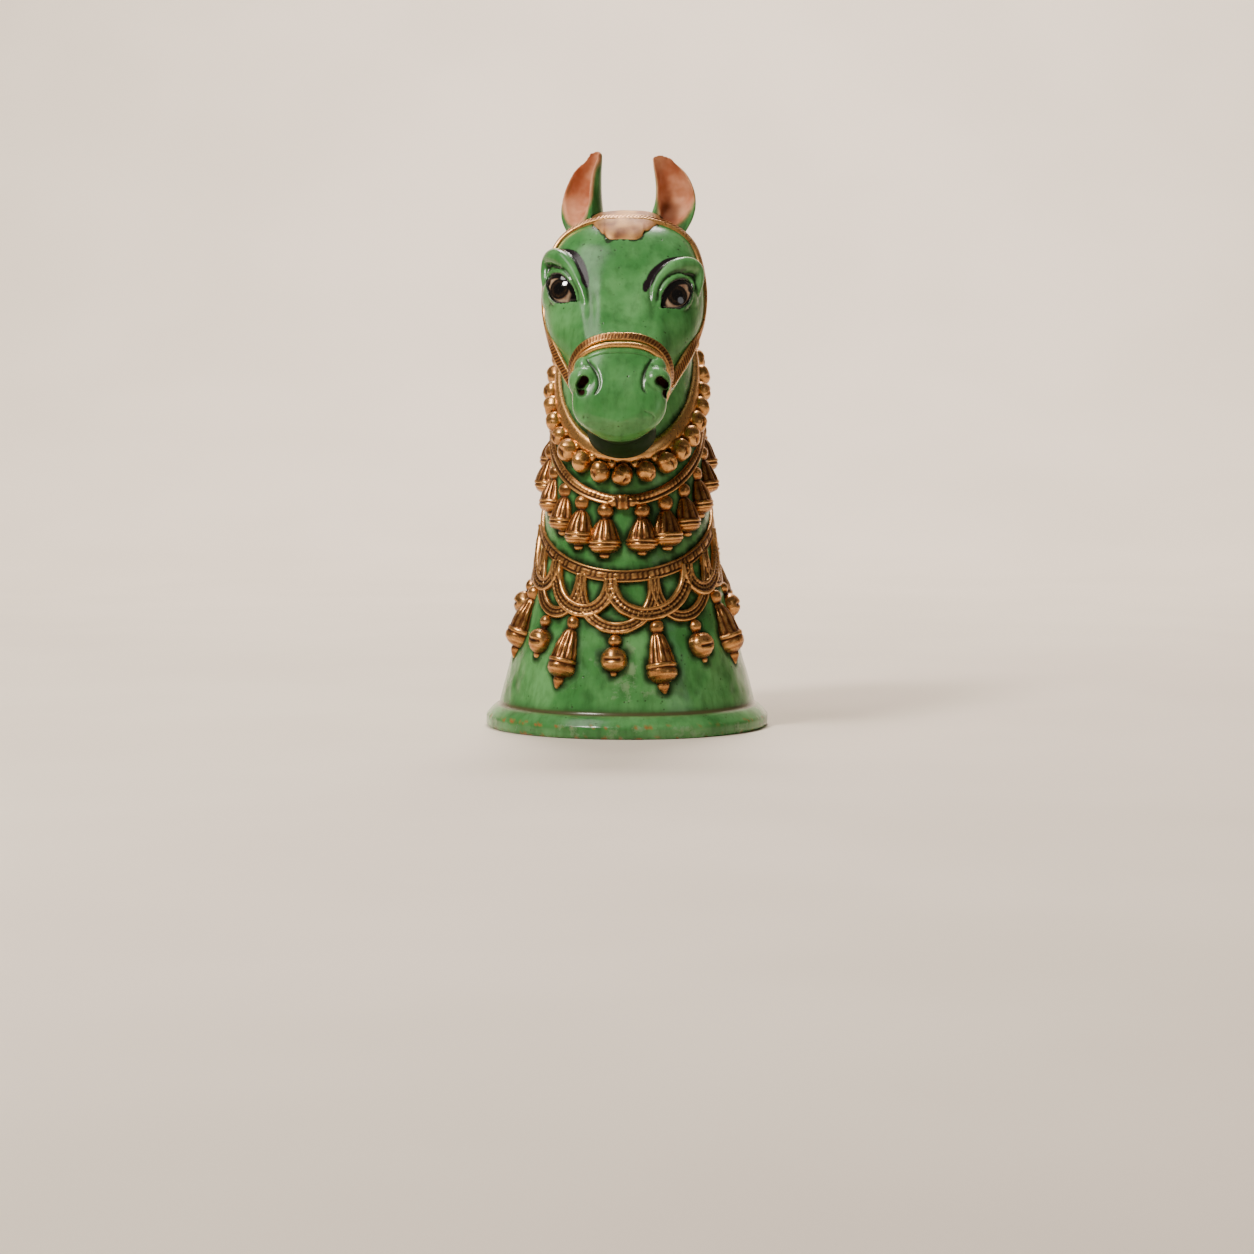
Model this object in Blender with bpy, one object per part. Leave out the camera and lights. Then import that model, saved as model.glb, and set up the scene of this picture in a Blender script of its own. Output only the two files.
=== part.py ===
# Carved horse head on a flared neck, hung with strings of beads, bells and tassels.
# One solid: neck, head, ears, halter and every hanging ornament are a single carving.
# Metres, +Z up, the face looks along -Y, the origin is the centre of the underside.

import math

import bmesh
import bpy
import numpy as np
from mathutils import Matrix, Vector

# Driving sizes, in metres.

FIGURE_HEIGHT = 0.460
BASE_DIAMETER = 0.228
BASE_EDGE_HEIGHT = 0.0085
BASE_STEP_WIDTH = 0.0135
BASE_STEP_HEIGHT = 0.0125

EAR_WALL = 0.0050

HALTER_STRAP_WIDTH = 0.0075
NOSEBAND_WIDTH = 0.0105
BROW_ROLL_DIAMETER = 0.0130
EYE_WIDTH = 0.0270
EYE_HEIGHT = 0.0180
EYE_BULGE = 0.0050
NOSTRIL_BULB_DIAMETER = 0.0245
NOSTRIL_HOLE_DIAMETER = 0.0105
NOSTRIL_HOLE_DEPTH = 0.0080
FOREHEAD_PLATE_WIDTH = 0.0460
FOREHEAD_PLATE_LENGTH = 0.0360
FOREHEAD_PLATE_THICKNESS = 0.0100

COLLAR_WIDTH = 0.0130
BAND_WIDTH = 0.0090
BAND_RISE = 0.0030
BEAD_DIAMETER = 0.0175
BEAD_SPACING = 0.0178
TASSEL_LENGTH = 0.0430
TASSEL_WIDTH = 0.0255
TASSEL_BEAD_DIAMETER = 0.0130
HIGH_SWAG_WIDTH = 0.0118
HIGH_SWAG_RISE = 0.0042
LOW_SWAG_WIDTH = 0.0095
LOW_SWAG_RISE = 0.0028
PENDANT_LENGTH = 0.0610
PENDANT_WIDTH = 0.0255
PENDANT_BEAD_DIAMETER = 0.0120
BELL_DIAMETER = 0.0220
MANE_WIDTH = 0.0300
MANE_RISE = 0.0100

# How deep ornaments are rooted below the surface of the neck.

BAND_ROOT = 0.0030
BAND_SHOULDER = 0.7
BEAD_ROOT_SHARE = 0.30
TASSEL_SINK_SHARE = 0.06

# Outlines of the turned ornaments below their round bead, as shares of the width and of the
# length below the bead's middle.

TASSEL_OUTLINE = ((0.31, 0.16), (0.80, 0.48), (1.0, 0.80), (0.72, 0.93))
PENDANT_OUTLINE = ((0.33, 0.11), (0.72, 0.34), (1.0, 0.62), (0.80, 0.80))
BELL_OUTLINE = ((0.27, 0.19), (0.9, 0.40), (0.9, 0.68), (0.3, 0.89))
BELL_LENGTH = 0.0373

# The free form is drawn on a figure 460 units tall, so one unit is a millimetre at the real size.

DRAWN_HEIGHT = 460.0
UNIT = FIGURE_HEIGHT / DRAWN_HEIGHT

# Where each ring of ornament crosses the front of the neck, how much higher it is at the sides,
# and how far the two layers of loops drop below the girth band, in units.

THROAT_BAND = {"front": 220.5, "rise": 70.5}
BEAD_ROW = {"front": 205.0, "rise": 70.5}
CHEST_BAND = {"front": 185.0, "rise": 57.0}
TASSEL_ROW = {"front": 175.5, "rise": 52.5}
GIRTH_BAND = {"front": 125.5, "rise": 42.0}
HIGH_SWAG_DROP = 31.0
LOW_SWAG_DROP = 40.5
SWAG_ROUNDNESS = 0.8

# Places round the neck in degrees from the front, the horse's left side positive.
# The carver spaced them by eye. The mane covers the back and the rows stop beside it.

TASSEL_PLACES = (13, 30, 46, 63, 81, 99, 118, 137)
HIGH_SWAG_ENDS = (-163, -124, -85, -46, -7, 42, 82, 122, 162)
LOW_SWAG_ENDS = (-143, -103, -64, -26, 19, 61, 102, 142)
HANGING_SPREAD = 1.04
HANGING_SWING = 8.0
FULL_SWING_PLACE = 25.0
HANGING_GAP_SHARE = 0.4
MANE_HALF_ANGLE = 24.0

BASE_RADIUS = BASE_DIAMETER / 2
FOOT_RADIUS = BASE_RADIUS - BASE_STEP_WIDTH
FOOT_HEIGHT = BASE_EDGE_HEIGHT + BASE_STEP_HEIGHT

# Neck: height, half width, half depth and how far behind the axis each oval sits, in units.

NECK_FORM = (
    (58.0, 92.8, 93.6, 0.8),
    (101.0, 80.7, 85.1, 2.8),
    (121.0, 75.0, 82.3, 4.0),
    (149.0, 69.8, 79.9, 5.6),
    (178.0, 66.2, 78.3, 6.5),
    (210.0, 62.5, 76.7, 8.1),
    (242.0, 59.3, 73.0, 10.1),
    (274.0, 55.7, 67.0, 12.1),
    (307.0, 51.6, 58.5, 13.3),
    (339.0, 46.0, 48.4, 12.9),
    (367.0, 37.9, 37.5, 11.7),
    (388.0, 28.0, 26.5, 9.7),
)
NECK_TOP = (403.0, 8.1)

# Head: reach and height of the top line, the same of the jaw line, and half width, in units.

HEAD_FORM = (
    (-16.0, 400.0, -14.0, 305.0, 40.0),
    (4.0, 411.5, 8.0, 273.0, 53.5),
    (29.0, 408.0, 29.0, 255.0, 61.0),
    (53.0, 395.0, 50.0, 247.0, 63.0),
    (73.0, 374.0, 68.0, 242.0, 58.5),
    (89.0, 352.5, 81.0, 238.0, 52.5),
    (103.0, 332.0, 92.0, 235.0, 44.5),
    (117.0, 314.0, 102.0, 232.0, 37.5),
    (129.0, 299.5, 112.0, 231.0, 36.0),
    (138.0, 286.0, 122.0, 231.0, 36.5),
    (144.0, 272.0, 131.0, 233.0, 34.5),
    (146.5, 259.0, 139.0, 238.0, 27.0),
)
HEAD_BACK = (-27.0, 355.0)
NOSE_TIP = (146.0, 249.0)
WIDEST_SHARE = 0.36
SECTION_FULLNESS = 0.56

CHIN_CENTRE = (93.0, 240.0)
CHIN_SIZE = (28.0, 33.0, 21.0)
NOSTRIL_CENTRE = (27.5, 129.0, 279.0)
NOSTRIL_OUTWARD = (0.38, -0.92, -0.05)

MANE_TOP = 384.0
MANE_FOOT = 68.0
MANE_STEPS = 15
MANE_TAPER = 0.35
MANE_RIB_SHARE = 0.82

# Eyes and brow rolls on the head: share of the head's length and share down from the top line.
# The eye on the horse's right, at -X, sits a little further out and higher.

EYE_PLACES = {-1: (0.395, 0.122), 1: (0.428, 0.100)}
EYE_ALONG = (0.80, 0.0, 0.50)
BROW_LINES = {
    -1: (
        (0.32, 0.27), (0.26, 0.245), (0.225, 0.195), (0.23, 0.135),
        (0.29, 0.086), (0.35, 0.058), (0.41, 0.047), (0.47, 0.045),
    ),
    1: (
        (0.35, 0.235), (0.30, 0.185), (0.285, 0.135), (0.31, 0.094),
        (0.355, 0.060), (0.405, 0.040), (0.445, 0.030), (0.485, 0.030),
    ),
}
BROW_SWELL = (0.40, 0.75, 0.95, 1.0, 1.0, 0.9, 0.7, 0.4)
HEADSTALL_LINE = (
    (0.205, 0.002), (0.205, 0.025), (0.21, 0.065), (0.22, 0.125), (0.24, 0.185),
    (0.285, 0.27), (0.31, 0.36), (0.37, 0.41), (0.47, 0.41), (0.56, 0.43), (0.615, 0.47),
)
NOSEBAND_SHARE = 0.64
NOSEBAND_SLANT = 0.03
FOREHEAD_PLATE_SHARE = 0.235
FOREHEAD_PLATE_TILT = 28.0

# Ears: height, then inner and outer edge as seen from the front, out from the middle, in units.
# The right ear, at -X, is turned outwards and shows its flank. Depth is a share of half its width.

EAR_FORM = {
    -1: (
        (396.0, 15.5, 48.0),
        (410.0, 18.3, 52.3),
        (422.9, 19.7, 51.8),
        (435.7, 20.2, 47.5),
        (447.2, 20.0, 40.5),
        (455.5, 19.8, 30.5),
        (460.0, 21.5, 24.5),
    ),
    1: (
        (396.0, 15.0, 47.0),
        (409.3, 19.0, 53.5),
        (421.4, 22.6, 55.4),
        (433.5, 23.2, 53.0),
        (444.4, 22.0, 47.0),
        (452.3, 21.2, 37.5),
        (456.5, 24.0, 30.0),
    ),
}
EAR_REACH = 4.0
EAR_TURNS = {-1: 48.0, 1: 10.0}
EAR_DEPTHS = {-1: 1.15, 1: 0.95}
EAR_RIM_SHARE = 0.12

AROUND_NECK = 28
AROUND_HEAD = 18
RING_STEPS = 24


def smooth(at, knots, values):
    """Curve through the knots, with the slope at each knot taken from its neighbours."""
    knots = np.asarray(knots, float)
    values = np.asarray(values, float)
    slope = np.gradient(values, knots)
    i = int(np.clip(np.searchsorted(knots, at) - 1, 0, len(knots) - 2))
    span = knots[i + 1] - knots[i]
    t = (at - knots[i]) / span
    return (
        (2 * t**3 - 3 * t**2 + 1) * values[i]
        + (t**3 - 2 * t**2 + t) * span * slope[i]
        + (3 * t**2 - 2 * t**3) * values[i + 1]
        + (t**3 - t**2) * span * slope[i + 1]
    )


def neck_knots():
    """Knots of the neck's form in metres, from its foot to just under its top."""
    foot = (FOOT_HEIGHT, FOOT_RADIUS, FOOT_RADIUS, 0.0)
    return np.array([foot] + [[n * UNIT for n in row] for row in NECK_FORM])


NECK = neck_knots()


def neck_oval(height):
    """Half width, half depth and offset of the neck at a height."""
    height = min(max(height, NECK[0, 0]), NECK[-1, 0])
    return [smooth(height, NECK[:, 0], NECK[:, k]) for k in (1, 2, 3)]


def neck_point(angle, height, out=0.0):
    """Point on the neck: angle 0 is the front and 90 the horse's left side, at +X."""
    a = math.radians(angle)
    width, depth, back = neck_oval(height)
    point = Vector((width * math.sin(a), back - depth * math.cos(a), height))
    return point + neck_normal(angle, height) * out


def neck_normal(angle, height):
    a = math.radians(angle)
    width, depth, back = neck_oval(height)
    step = 2 * UNIT
    wide_up, deep_up, back_up = neck_oval(height + step)
    wide_down, deep_down, back_down = neck_oval(height - step)
    along = Vector((width * math.cos(a), depth * math.sin(a), 0))
    up = Vector(
        (
            (wide_up - wide_down) * math.sin(a),
            (back_up - back_down) - (deep_up - deep_down) * math.cos(a),
            2 * step,
        )
    )
    return along.cross(up).normalized()


def ring_height(row, angle):
    return (row["front"] + row["rise"] * (1 - math.cos(math.radians(angle)))) * UNIT


HEAD = np.array(HEAD_FORM) * UNIT
HEAD_SHARES = np.linspace(0, 1, len(HEAD))


def head_section(share):
    """Top point, jaw point and half width of the head at a share of its length."""
    reach, top, jaw_reach, jaw, width = [smooth(share, HEAD_SHARES, HEAD[:, k]) for k in range(5)]
    return Vector((0, -reach, top)), Vector((0, -jaw_reach, jaw)), width


def head_point(share, down, side, out=0.0):
    """Point on the head at a share of its length and a share down from its top line."""
    top, jaw, width = head_section(share)
    spread = math.log(0.5) / math.log(WIDEST_SHARE)
    half = width * max(math.sin(math.pi * down**spread), 0.0) ** SECTION_FULLNESS
    point = top.lerp(jaw, down)
    point.x = side * half
    if out:
        point += head_normal(share, down, side) * out
    return point


def head_normal(share, down, side):
    step = 0.02
    low = max(down - step, 0.001)
    high = min(down + step, 0.999)
    along = head_point(min(share + step, 1), down, side) - head_point(max(share - step, 0), down, side)
    across = head_point(share, high, side) - head_point(share, low, side)
    return along.cross(across).normalized() * side


def new_collection(name):
    collection = bpy.data.collections.new(name)
    bpy.context.scene.collection.children.link(collection)
    return collection


def object_from(name, mesh, collection):
    obj = bpy.data.objects.new(name, mesh)
    collection.objects.link(obj)
    return obj


def as_operand(obj):
    """Marks a shape that is only joined to the carving or cut from it."""
    obj.hide_render = True
    obj.display_type = "WIRE"
    return obj


def loft(name, rings, collection, closed=False):
    """Closed solid through rings of points, whose ends are flat or come to a point."""
    bm = bmesh.new()
    rows = [[bm.verts.new(p) for p in ring] for ring in rings]
    for low, high in zip(rows, rows[1:]):
        count = max(len(low), len(high))
        for i in range(count):
            j = (i + 1) % count
            corners = [low[i % len(low)], low[j % len(low)], high[j % len(high)], high[i % len(high)]]
            bm.faces.new(list(dict.fromkeys(corners)))
    for row in () if closed else (rows[0], rows[-1]):
        if len(row) > 1:
            bm.faces.new(row)
    bmesh.ops.remove_doubles(bm, verts=bm.verts, dist=1e-7)
    bmesh.ops.recalc_face_normals(bm, faces=bm.faces)
    mesh = bpy.data.meshes.new(name)
    bm.to_mesh(mesh)
    bm.free()
    return object_from(name, mesh, collection)


def tube(name, points, radii, collection, closed=False, resolution=1):
    """Round bar along the points, made a mesh so that it can be joined."""
    curve = bpy.data.curves.new(name, "CURVE")
    curve.dimensions = "3D"
    curve.bevel_depth = 1.0
    curve.bevel_resolution = resolution
    curve.use_fill_caps = True
    line = curve.splines.new("POLY")
    line.points.add(len(points) - 1)
    for knot, point, radius in zip(line.points, points, radii):
        knot.co = (*point, 1)
        knot.radius = radius
    line.use_cyclic_u = closed
    guide = bpy.data.objects.new(name, curve)
    collection.objects.link(guide)
    bpy.context.view_layer.update()
    graph = bpy.context.evaluated_depsgraph_get()
    mesh = bpy.data.meshes.new_from_object(guide.evaluated_get(graph))
    bm = bmesh.new()
    bm.from_mesh(mesh)
    bmesh.ops.remove_doubles(bm, verts=bm.verts, dist=1e-6)
    bmesh.ops.recalc_face_normals(bm, faces=bm.faces)
    bm.to_mesh(mesh)
    bm.free()
    bar = object_from(name + "_bar", mesh, collection)
    bar.matrix_world = guide.matrix_world
    bpy.data.objects.remove(guide)
    return as_operand(bar)


def ball(name, centre, size, collection, segments=8, rings=5, turn=None):
    bm = bmesh.new()
    bmesh.ops.create_uvsphere(bm, u_segments=segments, v_segments=rings, radius=1.0)
    mesh = bpy.data.meshes.new(name)
    bm.to_mesh(mesh)
    bm.free()
    obj = object_from(name, mesh, collection)
    frame = turn.to_4x4() if turn else Matrix.Identity(4)
    obj.matrix_world = Matrix.Translation(centre) @ frame @ Matrix.Diagonal((*size, 1))
    return as_operand(obj)


def turned(name, profile, sides):
    """Mesh of a shape turned about Z from (radius, height) pairs, top to bottom."""
    bm = bmesh.new()
    rows = []
    for radius, height in profile:
        if radius == 0:
            rows.append([bm.verts.new((0, 0, height))])
            continue
        turns = [2 * math.pi * k / sides for k in range(sides)]
        rows.append([bm.verts.new((radius * math.cos(t), radius * math.sin(t), height)) for t in turns])
    for upper, lower in zip(rows, rows[1:]):
        for k in range(sides):
            n = (k + 1) % sides
            if len(upper) == 1:
                bm.faces.new((upper[0], lower[k], lower[n]))
            elif len(lower) == 1:
                bm.faces.new((upper[k], lower[0], upper[n]))
            else:
                bm.faces.new((upper[k], lower[k], lower[n], upper[n]))
    bmesh.ops.recalc_face_normals(bm, faces=bm.faces)
    mesh = bpy.data.meshes.new(name)
    bm.to_mesh(mesh)
    bm.free()
    return mesh


def hang(name, mesh, angle, height, sink, collection, swing=0.0):
    """Hangs a turned shape down the neck's slope, its axis sunk below the surface and swung outwards."""
    outward = neck_normal(angle, height)
    step = 5 * UNIT
    down = (neck_point(angle, height - step) - neck_point(angle, height)).normalized()
    outward = (outward - down * outward.dot(down)).normalized()
    down = Matrix.Rotation(math.radians(swing), 3, outward) @ down
    side = outward.cross(down)
    obj = object_from(name, mesh, collection)
    frame = Matrix((side, -outward, -down)).transposed().to_4x4()
    obj.matrix_world = Matrix.Translation(neck_point(angle, height, -sink)) @ frame
    return as_operand(obj)


def make_neck(collection):
    """Round foot with a stepped edge, flaring into the neck and rounded off inside the head."""
    edge_break = BASE_EDGE_HEIGHT * 0.25
    rings = []

    def oval(width, depth, back, height):
        turns = [2 * math.pi * k / AROUND_NECK for k in range(AROUND_NECK)]
        return [(width * math.sin(t), back - depth * math.cos(t), height) for t in turns]

    for radius, height in (
        (BASE_RADIUS - edge_break, 0.0),
        (BASE_RADIUS, edge_break),
        (BASE_RADIUS, BASE_EDGE_HEIGHT),
        (BASE_RADIUS - edge_break, BASE_EDGE_HEIGHT + edge_break),
    ):
        rings.append(oval(radius, radius, 0.0, height))
    top = NECK[-1, 0]
    levels = np.concatenate([[FOOT_HEIGHT], np.linspace(FOOT_HEIGHT + 14 * UNIT, top, 11)])
    for level in levels:
        rings.append(oval(*neck_oval(level), level))
    rings.append([(0, NECK_TOP[1] * UNIT, NECK_TOP[0] * UNIT)])
    return loft("horse_head_figurine", rings, collection)


def make_head(collection):
    """Head from behind the poll to the nose, widest at the cheeks, then the chin under it."""
    rings = [[(0, -HEAD_BACK[0] * UNIT, HEAD_BACK[1] * UNIT)]]
    half = AROUND_HEAD // 2
    for share in np.linspace(0, 1, 14):
        downs = [(1 - math.cos(math.pi * k / half)) / 2 for k in range(half + 1)]
        right = [head_point(share, down, 1) for down in downs]
        left = [Vector((-p.x, p.y, p.z)) for p in right[-2:0:-1]]
        rings.append(right + left)
    rings.append([(0, -NOSE_TIP[0] * UNIT, NOSE_TIP[1] * UNIT)])
    head = as_operand(loft("head", rings, collection))
    centre = (0, -CHIN_CENTRE[0] * UNIT, CHIN_CENTRE[1] * UNIT)
    ball("chin", centre, [n * UNIT for n in CHIN_SIZE], collection, 10, 6)
    return head


def make_ear(side, collection):
    """Upright leaf with a rounded back and a hollowed front, turned outwards about its own foot."""
    rings = []
    angle = math.radians(EAR_TURNS[side])
    turn = Matrix.Rotation(angle * side, 3, "Z")
    depth = EAR_DEPTHS[side]
    spread = math.cos(angle) + math.hypot(math.cos(angle), depth * math.sin(angle))
    for height, inner, outer in EAR_FORM[side]:
        half = (outer - inner) * UNIT / spread
        middle = outer * UNIT - half * math.cos(angle)
        back = half * depth
        hollow = max(back - EAR_WALL, back * EAR_RIM_SHARE)
        ring = []
        for k in range(8):
            t = math.pi * k / 8
            ring.append((half * math.cos(t), back * math.sin(t)))
        for k in range(1, 5):
            t = math.pi * k / 5
            inside = (1 - 2 * EAR_RIM_SHARE) * half
            ring.append((-inside * math.cos(t), hollow * math.sin(t)))
        foot = Vector((middle * side, -EAR_REACH * UNIT, height * UNIT))
        rings.append([turn @ Vector((x, y, 0)) + foot for x, y in ring])
    as_operand(loft(f"ear_{side}", rings, collection))


def make_eye(side, collection):
    """Almond eye under a thick brow roll."""
    where = EYE_PLACES[side]
    centre = head_point(*where, side, -EYE_BULGE * 0.2)
    normal = head_normal(*where, side)
    along = Vector((EYE_ALONG[0] * side, EYE_ALONG[1], EYE_ALONG[2]))
    along = (along - normal * along.dot(normal)).normalized()
    up = normal.cross(along) * side
    frame = Matrix((along, up, normal)).transposed()
    size = (EYE_WIDTH / 2, EYE_HEIGHT / 2, EYE_BULGE)
    ball(f"eye_{side}", centre, size, collection, 10, 5, frame)
    radius = BROW_ROLL_DIAMETER / 2
    points = [head_point(*spot, side, radius * 0.15) for spot in BROW_LINES[side]]
    tube(f"brow_{side}", points, [radius * share for share in BROW_SWELL], collection)


def make_nostril(side, collection, cutters):
    """Bulb beside the nose, with a hole carved into it."""
    centre = Vector((NOSTRIL_CENTRE[0] * side, -NOSTRIL_CENTRE[1], NOSTRIL_CENTRE[2])) * UNIT
    radius = NOSTRIL_BULB_DIAMETER / 2
    ball(f"nostril_{side}", centre, (radius, radius, radius), collection, 10, 7)
    outward = Vector((NOSTRIL_OUTWARD[0] * side, NOSTRIL_OUTWARD[1], NOSTRIL_OUTWARD[2])).normalized()
    mouth = centre + outward * radius
    hole = NOSTRIL_HOLE_DIAMETER / 2
    start = mouth - outward * NOSTRIL_HOLE_DEPTH
    tube(f"nostril_hole_{side}", [start, mouth + outward * hole], [hole, hole], cutters, resolution=2)


def make_halter(collection):
    """Noseband round the muzzle, a headstall over the poll and down each cheek, and the forehead plate."""
    points = []
    steps = 22
    for k in range(steps):
        turn = 2 * math.pi * k / steps
        down = min(max((1 - math.cos(turn)) / 2, 0.001), 0.999)
        side = 1 if math.sin(turn) >= 0 else -1
        share = NOSEBAND_SHARE - NOSEBAND_SLANT * down
        points.append(head_point(share, down, side, -NOSEBAND_WIDTH * 0.12))
    tube("noseband", points, [NOSEBAND_WIDTH / 2] * steps, collection, closed=True)
    left = [head_point(*spot, 1) for spot in HEADSTALL_LINE]
    right = [Vector((-p.x, p.y, p.z)) for p in left[:0:-1]]
    line = right + left
    tube("headstall", line, [HALTER_STRAP_WIDTH / 2] * len(line), collection)
    middle = head_point(FOREHEAD_PLATE_SHARE, 0.002, 1) + Vector((0, 1, -1)) * UNIT
    tilt = Matrix.Rotation(math.radians(FOREHEAD_PLATE_TILT), 3, "X")
    size = (FOREHEAD_PLATE_WIDTH / 2, FOREHEAD_PLATE_LENGTH / 2, FOREHEAD_PLATE_THICKNESS / 2)
    ball("forehead_plate", middle, size, collection, 12, 6, tilt)


def strip(name, places, width, rise, collection, closed=False):
    """Crowned strap laid on the neck through places given as angle and height."""
    rings = []
    count = len(places)
    for k, (angle, height) in enumerate(places):
        before = places[(k - 1) % count] if closed else places[max(k - 1, 0)]
        after = places[(k + 1) % count] if closed else places[min(k + 1, count - 1)]
        along = neck_point(*after) - neck_point(*before)
        normal = neck_normal(angle, height)
        across = along.cross(normal).normalized() * width / 2
        centre = neck_point(angle, height)
        root = centre - normal * BAND_ROOT
        shoulder = normal * rise * BAND_SHOULDER
        ring = [root - across, centre - across + shoulder, centre + normal * rise]
        ring += [centre + across + shoulder, root + across]
        rings.append(ring)
    if closed:
        rings.append(rings[0])
    return as_operand(loft(name, rings, collection, closed))


def make_band(name, row, width, collection):
    """Raised strap round the neck, higher at the back than at the front."""
    turns = [360 * k / RING_STEPS for k in range(RING_STEPS)]
    places = [(angle, ring_height(row, angle)) for angle in turns]
    strip(name, places, width, BAND_RISE, collection, closed=True)


def evenly_strung(row, spacing, reach):
    """Angles a fixed distance apart along a string round the neck, as far back as the reach."""
    angles = [0.0]
    run = 0.0
    last = neck_point(0, ring_height(row, 0))
    for angle in np.arange(0.5, reach, 0.5):
        point = neck_point(angle, ring_height(row, angle))
        run += (point - last).length
        last = point
        if run >= spacing:
            angles.append(float(angle))
            run -= spacing
    return [-angle for angle in angles[:0:-1]] + angles


def make_bead_row(collection):
    """String of round bells that hangs under the throat."""
    radius = BEAD_DIAMETER / 2
    for k, angle in enumerate(evenly_strung(BEAD_ROW, BEAD_SPACING, 180 - MANE_HALF_ANGLE)):
        centre = neck_point(angle, ring_height(BEAD_ROW, angle), radius * (1 - 2 * BEAD_ROOT_SHARE))
        ball(f"bead_{k}", centre, [radius] * 3, collection, 6, 4)


def hanging_profile(bead_diameter, width, length, outline):
    """Turning profile of a round bead with a body below it, the bead's middle at zero height."""
    bead = bead_diameter / 2
    below = length - bead
    body = [(wide * width / 2, -down * below) for wide, down in outline]
    return [(0, bead), (bead, 0), *body, (0, -below)]


def make_tassel_row(collection):
    """Bell-shaped tassels, each under a round bead and with a stepped rim."""
    profile = hanging_profile(TASSEL_BEAD_DIAMETER, TASSEL_WIDTH, TASSEL_LENGTH, TASSEL_OUTLINE)
    mesh = turned("tassel", profile, 6)
    places = [-place for place in TASSEL_PLACES[::-1]] + list(TASSEL_PLACES)
    for k, angle in enumerate(places):
        height = ring_height(TASSEL_ROW, angle)
        hang(f"tassel_{k}", mesh, angle, height, TASSEL_WIDTH * TASSEL_SINK_SHARE, collection)


def make_swag(name, start, end, loop, collection):
    """Cord that hangs in a U between two places on the girth band."""
    places = []
    for turn in np.linspace(0, math.pi, 7):
        angle = (start + end) / 2 - (end - start) / 2 * math.cos(turn)
        drop = loop["drop"] * UNIT * math.sin(turn) ** SWAG_ROUNDNESS
        places.append((angle, ring_height(GIRTH_BAND, angle) - drop))
    strip(name, places, loop["width"], loop["rise"], collection)


def make_swags(collection):
    """Upper and lower loops half a loop apart, with a long tassel or a round bell under each."""
    bead = PENDANT_BEAD_DIAMETER
    tassel = turned("pendant", hanging_profile(bead, PENDANT_WIDTH, PENDANT_LENGTH, PENDANT_OUTLINE), 6)
    bell = turned("bell", hanging_profile(bead, BELL_DIAMETER, BELL_LENGTH, BELL_OUTLINE), 6)
    low = {"ends": LOW_SWAG_ENDS, "drop": LOW_SWAG_DROP, "width": LOW_SWAG_WIDTH}
    low["rise"] = LOW_SWAG_RISE
    high = {"ends": HIGH_SWAG_ENDS, "drop": HIGH_SWAG_DROP, "width": HIGH_SWAG_WIDTH}
    high["rise"] = HIGH_SWAG_RISE
    for loop, mesh, layer in ((low, bell, "low"), (high, tassel, "high")):
        for k, (start, stop) in enumerate(zip(loop["ends"], loop["ends"][1:])):
            make_swag(f"{layer}_swag_{k}", start, stop, loop, collection)
            middle = (start + stop) / 2
            height = ring_height(GIRTH_BAND, middle) - loop["drop"] * UNIT
            height -= loop["width"] / 2 + bead * HANGING_GAP_SHARE
            swing = HANGING_SWING * min(max(middle / FULL_SWING_PLACE, -1), 1)
            hang(f"{layer}_hanging_{k}", mesh, middle * HANGING_SPREAD, height, 0.0, collection, swing)


def make_mane(collection):
    """Roached mane: a ribbed crest from between the ears down the back of the neck."""
    points = []
    radii = []
    for k in range(MANE_STEPS):
        share = k / (MANE_STEPS - 1)
        height = (MANE_TOP + (MANE_FOOT - MANE_TOP) * share) * UNIT
        rib = 1.0 if k % 2 else MANE_RIB_SHARE
        points.append(neck_point(180, height, MANE_RISE - MANE_WIDTH / 2))
        radii.append(MANE_WIDTH / 2 * (1 - MANE_TAPER * share) * rib)
    tube("mane", points, radii, collection)


def main():
    for old in list(bpy.data.objects):
        bpy.data.objects.remove(old)
    shown = new_collection("horse_head_figurine")
    joined = new_collection("joined_forms")
    cutters = new_collection("cutters")
    carving = make_neck(shown)
    make_head(joined)
    for side in (-1, 1):
        make_ear(side, joined)
        make_eye(side, joined)
        make_nostril(side, joined, cutters)
    make_halter(joined)
    make_mane(joined)
    make_band("throat_band", THROAT_BAND, COLLAR_WIDTH, joined)
    make_band("chest_band", CHEST_BAND, BAND_WIDTH, joined)
    make_band("girth_band", GIRTH_BAND, BAND_WIDTH, joined)
    make_bead_row(joined)
    make_tassel_row(joined)
    make_swags(joined)
    for name, operation, collection in (("join", "UNION", joined), ("carve", "DIFFERENCE", cutters)):
        step = carving.modifiers.new(name, "BOOLEAN")
        step.operation = operation
        step.operand_type = "COLLECTION"
        step.collection = collection
        step.solver = "EXACT"
    paint = bpy.data.materials.new("painted_wood")
    paint.use_nodes = True
    shader = paint.node_tree.nodes["Principled BSDF"]
    shader.inputs["Base Color"].default_value = (0.09, 0.27, 0.09, 1)
    shader.inputs["Roughness"].default_value = 0.35
    carving.data.materials.append(paint)


main()
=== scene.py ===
# %% [markdown]
# # A carved horse head in green and copper gold
# The real piece is one block of wood, carved all over and painted by hand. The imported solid
# gives its size and outline. This lesson carves the finer form in meshes round that solid and
# paints them with procedural materials. The horse faces -Y, and every length is in metres.

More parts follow.
